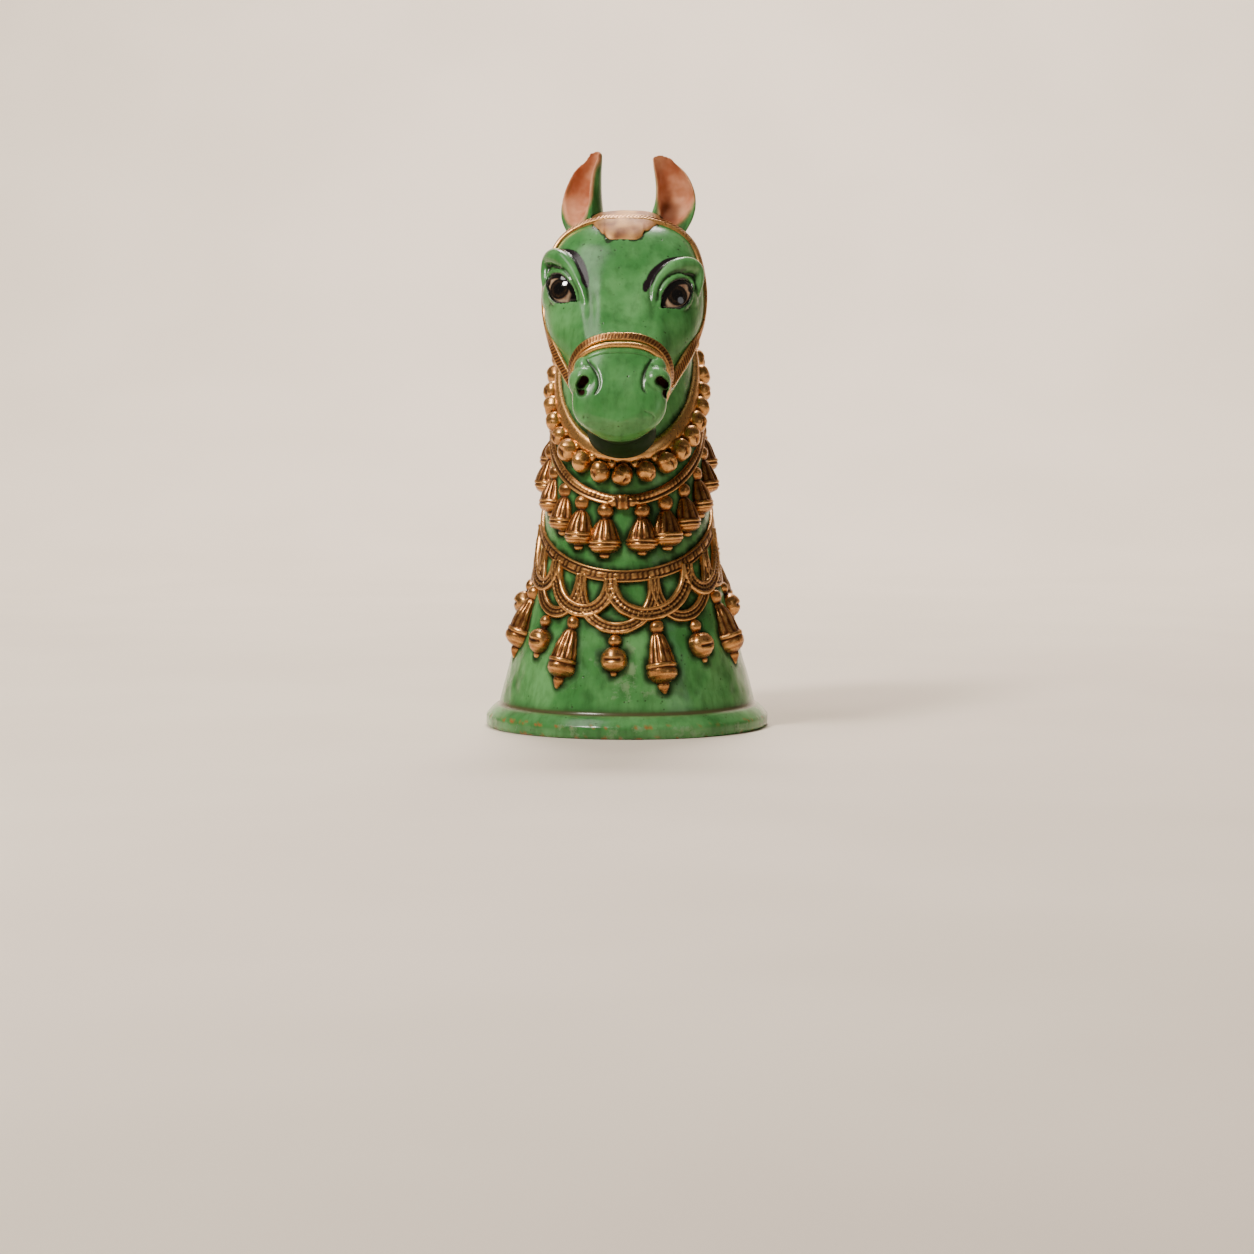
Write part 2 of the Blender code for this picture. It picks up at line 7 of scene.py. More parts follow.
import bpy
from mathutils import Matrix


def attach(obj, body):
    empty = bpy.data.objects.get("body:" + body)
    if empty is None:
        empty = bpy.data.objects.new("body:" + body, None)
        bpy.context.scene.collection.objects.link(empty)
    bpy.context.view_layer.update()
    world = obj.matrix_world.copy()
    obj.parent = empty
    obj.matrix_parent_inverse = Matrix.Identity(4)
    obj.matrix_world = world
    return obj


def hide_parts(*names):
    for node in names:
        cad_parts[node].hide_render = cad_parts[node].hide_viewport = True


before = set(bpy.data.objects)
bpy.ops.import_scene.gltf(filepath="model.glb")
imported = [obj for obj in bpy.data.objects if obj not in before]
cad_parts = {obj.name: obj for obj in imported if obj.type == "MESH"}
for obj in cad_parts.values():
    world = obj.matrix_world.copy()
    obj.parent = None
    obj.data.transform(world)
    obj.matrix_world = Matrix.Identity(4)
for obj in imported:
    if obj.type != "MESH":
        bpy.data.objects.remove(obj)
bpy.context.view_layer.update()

# %% Tools of the lesson
import math

import bpy
import numpy as np
from mathutils import Matrix, Vector, kdtree, noise

MM = 0.001
rng = np.random.default_rng(7)
pieces = {}


def deselect():
    bpy.ops.object.select_all(action="DESELECT")


def pick(*objects):
    """Selects these objects alone, the first of them active."""
    deselect()
    for obj in objects:
        obj.select_set(True)
    bpy.context.view_layer.objects.active = objects[0]


def mm(*lengths):
    """Lengths given in millimetres, as an array in metres."""
    return np.array(lengths, float) * MM


def read_out(items, key, width, kind):
    """A mesh's points, normals or edges as an array with a row for each."""
    flat = np.empty(len(items) * width, dtype=kind)
    items.foreach_get(key, flat)
    return flat.reshape(-1, width)


def points_of(obj):
    return read_out(obj.data.vertices, "co", 3, float)


def normals_of(obj):
    return read_out(obj.data.vertex_normals, "vector", 3, np.float32).astype(float)


def edges_of(obj):
    return read_out(obj.data.edges, "vertices", 2, np.int32)


def set_points(obj, points):
    obj.data.vertices.foreach_set("co", np.ascontiguousarray(points).ravel())
    obj.data.update()


def paint_mask(obj, name, values):
    """Keeps one number for each point, which a material reads by its name."""
    layer = obj.data.attributes.get(name) or obj.data.attributes.new(name, "FLOAT", "POINT")
    layer.data.foreach_set("value", np.clip(values, 0, 1).astype(np.float32))


def unit(vectors):
    vectors = np.asarray(vectors, float)
    return vectors / np.maximum(np.linalg.norm(vectors, axis=-1, keepdims=True), 1e-12)


def ease(low, high, values):
    """Climbs smoothly from 0 at low to 1 at high."""
    t = np.clip((np.asarray(values, float) - low) / (high - low), 0, 1)
    return t * t * (3 - 2 * t)


def between(foot, top, edge, end, values):
    """Climbs from 0 at foot to 1 at top, and falls back from edge to 0 at end."""
    return ease(foot, top, values) * (1 - ease(edge, end, values))


def hump(values, centre, width):
    """1 at the centre, fading away over about two widths on either side."""
    return np.exp(-(((values - centre) / width) ** 2))


def through(at, knots, values):
    """Smooth curve through the knots."""
    at = np.asarray(at, float)
    slope = np.gradient(values, knots)
    i = np.clip(np.searchsorted(knots, at) - 1, 0, len(knots) - 2)
    span = knots[i + 1] - knots[i]
    t = (at - knots[i]) / span
    return (
        (2 * t**3 - 3 * t**2 + 1) * values[i]
        + (t**3 - 2 * t**2 + t) * span * slope[i]
        + (3 * t**2 - 2 * t**3) * values[i + 1]
        + (t**3 - t**2) * span * slope[i + 1]
    )


def run_along(line):
    """Length along a line of points at each of them."""
    return np.concatenate([[0], np.cumsum(np.linalg.norm(np.diff(line, axis=0), axis=1))])


def between_knots(at, knots, values):
    """Straight steps between the knots, for every column of the values."""
    return np.stack([np.interp(at, knots, column) for column in np.transpose(values)], -1)


def resampled(line, shares):
    """Places along a line of points, by share of its length."""
    line = np.asarray(line, float)
    run = run_along(line)
    return between_knots(shares * run[-1], run, line)


def shaped(obj, points):
    """Moves the piece's points, and turns its faces outwards as by hand in edit mode."""
    set_points(obj, points)
    pick(obj)
    bpy.ops.object.mode_set(mode="EDIT")
    bpy.ops.mesh.select_all(action="SELECT")
    bpy.ops.mesh.normals_make_consistent(inside=False)
    bpy.ops.object.mode_set(mode="OBJECT")
    return obj


def ball_start(name, around, along):
    """A ball of radius one to shape, with each point's share of the way down and its turn."""
    deselect()
    bpy.ops.mesh.primitive_uv_sphere_add(segments=around, ring_count=along, radius=1.0)
    obj = bpy.context.object
    obj.name = name
    points = points_of(obj)
    share = np.arccos(np.clip(points[:, 2], -1, 1)) / math.pi
    turn = np.arctan2(points[:, 1], points[:, 0])
    return obj, share, turn


def joined(name, objects):
    """Joins several pieces into one."""
    pick(*objects)
    bpy.ops.object.join()
    objects[0].name = name
    objects[0].data.name = name
    return objects[0]


def placed_copy(source, name, matrix):
    """A copy with its own mesh, moved inside that mesh."""
    mesh = source.data.copy()
    mesh.transform(matrix)
    obj = bpy.data.objects.new(name, mesh)
    bpy.context.scene.collection.objects.link(obj)
    return obj


def relaxed(points, edges, rounds):
    """The points after that many rounds of moving each to the middle of its neighbours."""
    count = len(points)
    degree = np.bincount(edges.ravel(), minlength=count)[:, None]
    for _ in range(rounds):
        total = np.empty_like(points)
        for k in range(points.shape[1]):
            total[:, k] = np.bincount(edges[:, 0], points[edges[:, 1], k], count)
            total[:, k] += np.bincount(edges[:, 1], points[edges[:, 0], k], count)
        points = total / np.maximum(degree, 1)
    return points


def smeared(values, edges, rounds):
    """One number for each point, spread softly over its neighbours."""
    return relaxed(values[:, None], edges, rounds)[:, 0]


def gaps_to(cloud, points):
    """Distance from each point to the nearest one of a cloud."""
    tree = kdtree.KDTree(len(cloud))
    for k, place in enumerate(cloud):
        tree.insert(place, k)
    tree.balance()
    return np.array([tree.find(p)[2] for p in points])


def mark_relief(obj, rounds, depth):
    """Measures where the surface is hollow or proud, and keeps both as masks for the paint."""
    points = points_of(obj)
    lifted = np.einsum("ij,ij->i", relaxed(points, edges_of(obj), rounds) - points, normals_of(obj))
    paint_mask(obj, "hollow", lifted / depth)
    paint_mask(obj, "proud", -lifted / depth)


def finish_piece(obj, material, rounds=6, depth=0.4 * MM):
    """Smooth shading, relief masks, material, and a ride on the body."""
    pick(obj)
    bpy.ops.object.shade_smooth()
    mark_relief(obj, rounds, depth)
    obj.data.materials.clear()
    obj.data.materials.append(material)
    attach(obj, "root")
    pieces[obj.name] = obj
    obj.data.calc_loop_triangles()
    print(obj.name, "has", len(obj.data.loop_triangles), "triangles")
    return obj


# %% [markdown]
# ## The neck's form
# The neck is a tall cone with a gentle waist. Ovals at a few heights describe it, each with a
# half width, a half depth and how far it lies behind the axis, and a smooth curve joins them.
# Ornaments are placed by an angle round the neck, with 0 at the front, and a height.

# %% Neck as a function of angle and height
BASE_RADIUS = 0.114
BASE_EDGE_HEIGHT = 0.0098
FOOT_RADIUS = 0.1028
FOOT_HEIGHT = 0.021
NECK_FORM = (
    (FOOT_HEIGHT / MM, FOOT_RADIUS / MM, FOOT_RADIUS / MM, 0.0),
    (58.0, 92.8, 93.6, 0.8),
    (101.0, 80.7, 85.1, 2.8),
    (121.0, 75.0, 82.3, 4.0),
    (149.0, 69.8, 79.9, 5.6),
    (178.0, 66.2, 78.3, 6.5),
    (210.0, 62.5, 76.7, 8.1),
    (242.0, 59.3, 73.0, 10.1),
    (274.0, 55.7, 67.0, 12.1),
    (307.0, 51.6, 58.5, 13.3),
    (339.0, 46.0, 48.4, 12.9),
    (367.0, 37.9, 37.5, 11.7),
    (388.0, 28.0, 26.5, 9.7),
)
NECK_TOP = 0.403
TOP_GAP = 0.004
NECK = np.array(NECK_FORM) * MM


def neck_ovals(height):
    height = np.clip(height, NECK[0, 0], NECK[-1, 0])
    return [through(height, NECK[:, 0], NECK[:, k]) for k in (1, 2, 3)]


def neck_at(angle, height):
    """Points and outward normals on the neck for angles in degrees and heights."""
    a = np.radians(np.asarray(angle, float))
    height = np.asarray(height, float) + 0 * a
    wide, deep, back = neck_ovals(height)
    step = 2 * MM
    wide_up, deep_up, back_up = neck_ovals(height + step)
    wide_down, deep_down, back_down = neck_ovals(height - step)
    points = np.stack([wide * np.sin(a), back - deep * np.cos(a), height], -1)
    along = np.stack([wide * np.cos(a), deep * np.sin(a), 0 * a], -1)
    rise = (back_up - back_down) - (deep_up - deep_down) * np.cos(a)
    up = np.stack([(wide_up - wide_down) * np.sin(a), rise, 2 * step + 0 * a], -1)
    return points, unit(np.cross(along, up))


print("neck at the waist", [round(float(n), 4) for n in neck_ovals(0.242)])

# %% [markdown]
# ## The neck and its flared foot
# One ball mesh becomes the whole neck: its rings are moved onto the profile, which runs from
# the middle of the underside over the stepped rim and up inside the head. A carver's surface
# is never true, so noise of three sizes leaves soft hand-worked hollows, and the rim's sharp
# edge gets small chips where it has been knocked.

# %% Rings of the neck
def foot_profile():
    """Share of the way up, with radius and height, from the underside's middle to the foot."""
    edge = 2.1 * MM
    return (
        (0.0, 0.0),
        (BASE_RADIUS - edge, 0.0),
        (BASE_RADIUS - edge * 0.3, edge * 0.3),
        (BASE_RADIUS, edge),
        (BASE_RADIUS, BASE_EDGE_HEIGHT - 0.5 * MM),
        (BASE_RADIUS - 0.8 * MM, BASE_EDGE_HEIGHT + 0.4 * MM),
        (BASE_RADIUS - 4.4 * MM, BASE_EDGE_HEIGHT + 4.6 * MM),
        (BASE_RADIUS - 7.6 * MM, BASE_EDGE_HEIGHT + 7.4 * MM),
        (BASE_RADIUS - 9.6 * MM, BASE_EDGE_HEIGHT + 8.2 * MM),
        (BASE_RADIUS - 10.9 * MM, BASE_EDGE_HEIGHT + 9.0 * MM),
        (FOOT_RADIUS, FOOT_HEIGHT),
    )


neck, share, turn = ball_start("neck_and_foot", 360, 250)
FOOT_SHARE = 0.30
foot = resampled(foot_profile(), np.clip((1 - share) / FOOT_SHARE, 0, 1))
climb = np.clip(((1 - share) - FOOT_SHARE) / (1 - FOOT_SHARE), 0, 1)
height = FOOT_HEIGHT + climb * (NECK_TOP - TOP_GAP - FOOT_HEIGHT)
angle = np.degrees(turn)
body, facing = neck_at(angle, height)
past_ovals = np.clip((height - NECK[-1, 0]) / (NECK_TOP - NECK[-1, 0]), 0, 1)
close = np.sqrt(np.clip(1 - past_ovals**2, 0, 1))
top_middle = np.array([0, NECK[-1, 3]])
body[:, :2] = top_middle + (body[:, :2] - top_middle) * close[:, None]
body[:, 2] = height
on_foot = share > 1 - FOOT_SHARE
a = np.radians(angle)
turned = np.stack([foot[:, 0] * np.sin(a), -foot[:, 0] * np.cos(a), foot[:, 1]], -1)
points = np.where(on_foot[:, None], turned, body)
shaped(neck, points)
print("neck and foot from", round(points[:, 2].min(), 4), "to", round(points[:, 2].max(), 4))


# %% Hand-worked hollows and a chipped rim
def rough(points, size, seed):
    """Soft noise from -1 to 1 with hollows about that size."""
    shift = Vector((seed * 3.7, seed * 1.3, seed * 7.1))
    return np.array([noise.noise(Vector(p) / size + shift) for p in points])


facing[on_foot] = unit(turned[on_foot] * np.array([1, 1, 0]) + np.array([0, 0, 1e-9]))
z = points[:, 2]
rim = between(0.001, 0.004, 0.016, 0.026, z)
skirt = between(0.022, 0.034, 0.085, 0.115, z)
loops_zone = between(0.085, 0.115, 0.20, 0.23, z)
front = ease(-0.2, 0.7, -facing[:, 1])
worked = 0.75 * MM * rough(points, 42 * MM, 1) + 0.28 * MM * rough(points, 13 * MM, 2)
fine_cuts = 0.6 * MM * rough(points, 9 * MM, 3) * np.maximum(skirt, 0.8 * loops_zone)
worked += fine_cuts * (0.25 + 0.75 * front)
worked = worked * (1 - 0.75 * rim)
arris = hump(z, BASE_EDGE_HEIGHT, 1.3 * MM)
foot_edge = hump(z, 0.8 * MM, 1.4 * MM)
blows = rough(points * np.array([1, 1, 0.7]), 3.6 * MM, 4) + 0.25 * rough(points, 22 * MM, 5)
knocks = ease(0.24, 0.46, blows)
worked -= 0.8 * MM * knocks * np.maximum(arris, 0.7 * foot_edge)
worked[z < 0.4 * MM] = 0
points = points + facing * worked[:, None]
points[:, 2] = np.maximum(points[:, 2], 0)
set_points(neck, points)
paint_mask(neck, "chipped", knocks * np.maximum(arris, foot_edge))
groove_height = BASE_EDGE_HEIGHT + 9.0 * MM
paint_mask(neck, "dusty", 0.6 * hump(points[:, 2], groove_height, 1.6 * MM))
# The skirt's front middle is rubbed paler: partly worn paint, partly a painted sheen on the flare.
middle_of_skirt = hump(points[:, 0], 0, 52 * MM) * ease(0.3, 0.9, -facing[:, 1])
paint_mask(neck, "scuffed_and_sheen", skirt * middle_of_skirt)
print("deepest chip", round(float(worked.min() / MM), 2), "mm")

# %% [markdown]
# ## The head's form
# The head is drawn in slices from poll to nose. Each slice has a point on the top line, one on
# the jaw and a half width, with its widest part a third of the way down. The same slices made
# the solid, so the carved head keeps its place. A share along the head and a share down from
# the top line then name any spot on it.

# %% Head as a function of two shares
HEAD_FORM = (
    (-16.0, 400.0, -14.0, 305.0, 40.0),
    (4.0, 411.5, 8.0, 273.0, 53.5),
    (29.0, 408.0, 29.0, 255.0, 61.0),
    (53.0, 395.0, 50.0, 247.0, 63.0),
    (73.0, 374.0, 68.0, 242.0, 58.5),
    (89.0, 352.5, 81.0, 238.0, 52.5),
    (103.0, 332.0, 92.0, 235.0, 44.5),
    (117.0, 314.0, 102.0, 232.0, 37.5),
    (129.0, 299.5, 112.0, 231.0, 36.0),
    (138.0, 286.0, 122.0, 231.0, 36.5),
    (144.0, 272.0, 131.0, 233.0, 34.5),
    (146.5, 259.0, 139.0, 238.0, 27.0),
)
HEAD = np.array(HEAD_FORM) * MM
HEAD_SHARES = np.linspace(0, 1, len(HEAD))
WIDEST_SHARE = 0.36
SECTION_FULLNESS = 0.56
HEAD_BACK = np.array([0, 27.0, 355.0]) * MM
NOSE_TIP = np.array([0, -149.0, 249.0]) * MM


def head_at(along, down, side):
    """Points on the head, side +1 for the horse's left and -1 for its right."""
    along = np.asarray(along, float)
    down = np.clip(np.asarray(down, float), 0, 1)
    reach, top, jaw_reach, jaw, width = [through(along, HEAD_SHARES, HEAD[:, k]) for k in range(5)]
    spread = math.log(0.5) / math.log(WIDEST_SHARE)
    half = width * np.maximum(np.sin(math.pi * down**spread), 0) ** SECTION_FULLNESS
    y = -(reach + (jaw_reach - reach) * down)
    return np.stack([side * half, y, top + (jaw - top) * down], -1)


def head_normal(along, down, side):
    step = 0.02
    ahead = head_at(np.minimum(along + step, 1), down, side)
    behind = head_at(np.maximum(along - step, 0), down, side)
    lower = head_at(along, np.minimum(down + step, 0.999), side)
    upper = head_at(along, np.maximum(down - step, 0.001), side)
    outward = np.cross(ahead - behind, lower - upper)
    return unit(outward * np.asarray(side, float)[..., None])


print("cheek at its widest", [round(float(n), 4) for n in head_at(0.27, WIDEST_SHARE, 1)])

# %% [markdown]
# ## Roughing out the head
# A ball's rings are moved onto the slices. The carver's next moves are pushes: sockets and
# cheeks pressed in, the nose bones and jowls left proud. Each push moves the points near a
# place along the surface's own direction. One beside the middle is made on both sides.

# %% Head block
head, share, turn = ball_start("head", 160, 150)
END_SHARE = 0.02
along = np.clip((share - END_SHARE) / (1 - 2 * END_SHARE), 0, 1)
down = (1 - np.cos(turn)) / 2
points = head_at(along, down, np.sign(np.sin(turn)))
points[share < 1e-6] = HEAD_BACK
points[share > 1 - 1e-6] = NOSE_TIP
shaped(head, points)


def push(obj, place, reach, amount):
    """Moves the surface near a place in or out, on both sides of the head."""
    points = points_of(obj)
    normals = normals_of(obj)
    for side in (-1, 1):
        centre = np.array([place[0] * side, place[1], place[2]])
        near = np.exp(-np.sum(((points - centre) / reach) ** 2, axis=1))
        points = points + normals * (near * amount)[:, None]
        if place[0] == 0:
            break
    set_points(obj, points)


def spot(x, forward, z):
    """A place on the head in millimetres: out from the middle, forward and up."""
    return np.array([x, -forward, z]) * MM


PUSHES = (
    ((60, 60, 322), (22, 22, 22), 1.0),
    ((58, 40, 290), (26, 26, 26), 2.5),
    ((44, 96, 300), (14, 18, 16), -3.4),
    ((24, 100, 333), (5, 14, 20), -1.0),
    ((30, 98, 333), (6, 8, 8), 1.1),
    ((29, 104, 323), (6, 8, 8), 1.1),
    ((29, 109, 314), (6, 8, 8), 1.1),
    ((17, 88, 350), (7, 10, 11), 0.8),
    ((17, 97, 338), (7, 10, 11), 0.8),
    ((18, 105, 326), (7, 10, 11), 0.8),
    ((46, 34, 388), (17, 17, 17), 2.0),
    ((0, 66, 384), (16, 18, 18), 1.2),
    ((0, 140, 285), (13, 14, 14), -1.2),
    ((24, 146, 252), (14, 14, 14), 1.4),
)
for place, reach, amount in PUSHES:
    push(head, spot(*place), mm(*reach), amount * MM)
print("head block is", round(float(np.ptp(points_of(head)[:, 0])), 4), "wide")

# %% [markdown]
# ## Eyes, lids and brow rolls
# Each eye has a frame of its own: across runs towards the nose, up runs up the face, and out
# is where the eye looks. The eyeball is a shallow cap on a mound of wood. The lids are tapered
# rolls round its opening, and a thick brow roll arches above and runs down beside the nose.
# The carver cut the two eyes by eye, so each has its own lines, in millimetres.

# %% Eye frames and outlines
EYE_MIDDLES = {-1: (-50.0, 78.7, 351.5), 1: (43.2, 86.6, 346.4)}
EYE_LOOKS = {-1: (-0.40, -0.88, 0.26), 1: (0.34, -0.90, 0.28)}
EYEBALL_RADIUS = 27 * MM
UPPER_EDGE = {
    -1: (
        (-12.8, 4.6), (-13.3, 7.8), (-12.1, 10.6), (-8.1, 11.9), (-1.8, 11.8), (4.8, 7.9),
        (10.4, 2.3), (14.4, -3.6), (17.8, -10.5),
    ),
    1: (
        (-13.7, 5.2), (-13.9, 8.4), (-12.7, 11.8), (-8.7, 13.1), (-2.1, 12.1), (3.7, 8.8),
        (8.7, 3.4), (12.5, -3.3), (14.8, -10.6),
    ),
}
LOWER_EDGE = {
    -1: (
        (-12.8, 4.6), (-9.8, -0.7), (-6.9, -6.4), (-1.6, -10.3), (4.4, -11.8), (9.9, -11.3),
        (14.2, -10.8), (17.8, -10.7),
    ),
    1: (
        (-13.7, 5.2), (-11.9, 0.1), (-8.1, -5.9), (-2.6, -9.6), (3.9, -10.6), (9.3, -10.4),
        (14.8, -10.7),
    ),
}
LID_LINE = {
    -1: (
        (-14.5, 4.6), (-15.7, 9.5), (-14.2, 13.4), (-7.0, 14.9), (0.6, 13.0), (8.2, 7.0),
        (13.2, 0.4), (16.8, -6.3), (19.0, -11.6),
    ),
    1: (
        (-15.4, 5.0), (-16.0, 10.2), (-14.2, 14.5), (-8.0, 15.9), (-0.6, 14.6), (6.7, 10.0),
        (11.7, 3.6), (14.9, -3.6), (16.4, -10.8),
    ),
}
UPPER_LID_RADII = mm(1.3, 2.0, 2.4, 2.6, 2.5, 2.4, 2.2, 1.9, 1.3)
LOWER_LID_RADII = mm(1.2, 1.6, 1.8, 1.6, 1.2)


def eye_frame(side):
    """Middle of the eye and its three directions: across to the nose, up, and out."""
    x, forward, z = EYE_MIDDLES[side]
    outward = unit(EYE_LOOKS[side])
    across = unit(np.cross([0, 0, 1.0], outward))
    across = across * (-side if across[0] > 0 else side)
    upward = unit(np.cross(outward, across))
    upward = upward if upward[2] > 0 else -upward
    return spot(x, forward, z), across, upward, outward


def ball_fall(flat):
    """How far the eyeball falls back from its front at (across, up) places in metres."""
    return np.sqrt(np.maximum(EYEBALL_RADIUS**2 - np.sum(flat**2, axis=1), 0)) - EYEBALL_RADIUS


def on_eyeball(side, flat, lift=0.0):
    """Points over the eyeball for (across, up) places in metres."""
    middle, across, upward, outward = eye_frame(side)
    flat = np.asarray(flat, float)
    out = ball_fall(flat) + lift
    return middle + flat[:, :1] * across + flat[:, 1:] * upward + out[:, None] * outward


def eased_line(knots, count=60, lead=3):
    """A smooth line through a few knots, its steps measured over their first numbers."""
    knots = np.asarray(knots, float)
    run = run_along(knots[:, :lead])
    at = np.linspace(0, run[-1], count)
    return np.stack([through(at, run, knots[:, k]) for k in range(knots.shape[1])], -1)


def roll(name, line, radii, around=14):
    """A round roll with closed ends that swells and tapers along a line of points."""
    obj, share, turn = ball_start(name, around, 4 * len(line))
    middle = resampled(line, share)
    ahead = resampled(line, np.clip(share + 0.01, 0, 1))
    lead = unit(ahead - resampled(line, np.clip(share - 0.01, 0, 1)))
    side = unit(np.cross(lead, np.array([0.13, 0.21, 0.97])))
    rise = np.cross(side, lead)
    ends = np.sqrt(np.clip(1 - np.abs(2 * share - 1) ** 8, 0, 1))
    thick = np.interp(share, np.linspace(0, 1, len(radii)), radii) * ends
    ring = side * np.cos(turn)[:, None] + rise * np.sin(turn)[:, None]
    return shaped(obj, middle + ring * thick[:, None])


BROW_LINES = {
    -1: (
        (0.315, 0.300, 1.8), (0.265, 0.268, 3.6), (0.238, 0.225, 5.2), (0.240, 0.180, 6.4),
        (0.262, 0.146, 7.0), (0.290, 0.116, 6.6), (0.322, 0.090, 5.4), (0.356, 0.072, 4.5),
        (0.396, 0.058, 3.8), (0.436, 0.048, 3.1), (0.472, 0.044, 2.3), (0.508, 0.046, 1.2),
    ),
    1: (
        (0.350, 0.262, 1.8), (0.312, 0.225, 3.8), (0.296, 0.184, 5.4), (0.306, 0.140, 6.6),
        (0.330, 0.098, 6.6), (0.358, 0.066, 5.2), (0.386, 0.045, 4.2), (0.416, 0.033, 3.6),
        (0.446, 0.027, 3.0), (0.480, 0.028, 2.3), (0.512, 0.034, 1.2),
    ),
}

lids = []
brows = []
mounds = []
for side in (-1, 1):
    middle, across, upward, outward = eye_frame(side)
    mound, _, _ = ball_start(f"eye_mound_{side}", 64, 40)
    heart = middle - outward * EYEBALL_RADIUS
    set_points(mound, heart + points_of(mound) * (EYEBALL_RADIUS - 1.2 * MM))
    mounds.append(mound)
    upper = on_eyeball(side, eased_line(LID_LINE[side]) * MM, 0.5 * MM)
    lids.append(roll(f"upper_lid_{side}", upper, UPPER_LID_RADII))
    edge = eased_line(LOWER_EDGE[side])
    grown = edge + unit(edge - [1.0, 2.0]) * 1.3
    lower = on_eyeball(side, grown * MM, -0.2 * MM)
    lids.append(roll(f"lower_lid_{side}", lower, LOWER_LID_RADII))
    line = eased_line(BROW_LINES[side], 70, 2)
    centre = head_at(line[:, 0], line[:, 1], side)
    thick = line[:, 2] * MM
    proud = ease(1.5 * MM, 7 * MM, thick) * 3.0 * MM - 0.7 * MM
    raised = head_normal(line[:, 0], line[:, 1], side) * proud[:, None]
    brows.append(roll(f"brow_roll_{side}", centre + raised, thick, 22))
print("lids and brow rolls:", len(lids) + len(brows))

# %% [markdown]
# ## Nostrils, chin and ears
# The nostrils are round bulbs at the sides of the nose. The chin is a separate round mass set
# back under the lip. Each ear is a leaf with a hollowed front: the back half of every ring is
# an arc, and the front half dips in behind the rim.

# %% Bulbs and chin
NOSTRIL = spot(27.5, 129.0, 279.0)
NOSTRIL_RADIUS = 12.2 * MM
bulbs = []


def egg(name, centre, size, around=48, along=32):
    obj, _, _ = ball_start(name, around, along)
    set_points(obj, centre + points_of(obj) * size)
    return obj


for side in (-1, 1):
    place = NOSTRIL * np.array([side, 1, 1])
    bulbs.append(egg(f"nostril_bulb_{side}", place, mm(12.2, 12.0, 12.6)))
    bulbs.append(egg(f"nostril_root_{side}", spot(27.5 * side, 121, 289), mm(8.5, 9, 10)))
chin = egg("chin", spot(0, 93, 240), mm(27, 33, 21), 64, 48)
chin_cloud = points_of(chin)

# %% Ears
EAR_FORM = {
    -1: (
        (380.0, 22.0, 34.0), (388.0, 18.5, 41.0), (396.0, 16.0, 46.5), (410.0, 18.3, 52.3),
        (422.9, 19.7, 51.8), (435.7, 20.2, 47.5), (447.2, 20.0, 40.5), (455.0, 19.6, 32.0),
        (459.6, 20.2, 28.6), (461.8, 22.6, 25.6),
    ),
    1: (
        (380.0, 22.0, 34.0), (388.0, 18.5, 41.0), (396.0, 16.0, 46.5), (409.3, 19.0, 53.5),
        (421.4, 22.6, 55.4), (433.5, 23.2, 53.0), (444.4, 22.0, 47.0), (452.3, 21.0, 38.5),
        (456.8, 21.6, 33.5), (458.6, 24.6, 29.0),
    ),
}
EAR_TURNS = {-1: 48.0, 1: 10.0}
EAR_DEPTHS = {-1: 1.15, 1: 0.95}
EAR_FOOT = 396 * MM
EAR_WALL = 3.4 * MM
HOLLOW_FOOT = 401 * MM
HOLLOW_RISE = 24 * MM
PAINT_FOOT = 402 * MM
DARK_TOP = 419 * MM
RIM = 0.85
PAINTED_WIDTHS = {-1: 1.0, 1: 0.89}


def make_ear(side):
    """Ear on one side, which of its points are painted as hollow, and which take painted shade deep in
    it.
    """
    obj, share, turn = ball_start(f"ear_{side}", 96, 90)
    form = np.array(EAR_FORM[side]) * MM
    height = form[0, 0] + (1 - share) * (form[-1, 0] - form[0, 0])
    inner, outer = [through(height, form[:, 0], form[:, k]) for k in (1, 2)]
    angle = math.radians(EAR_TURNS[side])
    depth = EAR_DEPTHS[side]
    half = (outer - inner) / (math.cos(angle) + math.hypot(math.cos(angle), depth * math.sin(angle)))
    middle = outer - half * math.cos(angle)
    back = half * depth
    u = np.cos(turn)
    front = np.sin(turn) < 0
    start = np.clip((height - HOLLOW_FOOT) / HOLLOW_RISE, 0, 1)
    open_wide = RIM * np.maximum(start, 1e-4) ** 0.45
    cup = np.maximum(back - EAR_WALL, 0) * start**0.8
    scooped = cup * np.clip(1 - (np.abs(u) / open_wide) ** 2.6, 0, 1) ** 0.62
    rim = 1.6 * MM * np.sqrt(np.clip(1 - ((np.abs(u) - 0.92) / 0.09) ** 2, 0, 1))
    shut = -5 * MM * (1 - ease(0, 1, start)) * np.sqrt(np.clip(1 - u**2, 0, 1))
    y = np.where(front, np.where(np.abs(u) < open_wide, scooped, -rim) + shut, back * np.sin(turn))
    pole = (share < 1e-6) | (share > 1 - 1e-6)
    x = np.where(pole, 0, half * u)
    y = np.where(pole, 0, y)
    bend = Matrix.Rotation(math.radians(EAR_TURNS[side] * side), 3, "Z")
    place = np.stack([x, y, 0 * x], -1) @ np.array(bend.transposed())
    shaped(obj, place + np.stack([middle * side, 0 * x - 4 * MM, height], -1))
    wide = PAINTED_WIDTHS[side]
    inside = front & (np.abs(u) < np.minimum(open_wide * wide / RIM, wide)) & (height > PAINT_FOOT)
    # The deepest part of the right ear's hollow takes painted shade.
    deep = inside & (side > 0) & (height < DARK_TOP) & (np.abs(u + 0.15) < 0.4)
    return obj, inside, deep


ears = []
hollows = []
deepest = []
for side in (-1, 1):
    obj, inside, deep = make_ear(side)
    hollows.append(points_of(obj)[inside])
    deepest.append(points_of(obj)[deep])
    ears.append(obj)
print("ears rise to", round(float(points_of(ears[0])[:, 2].max()), 4))

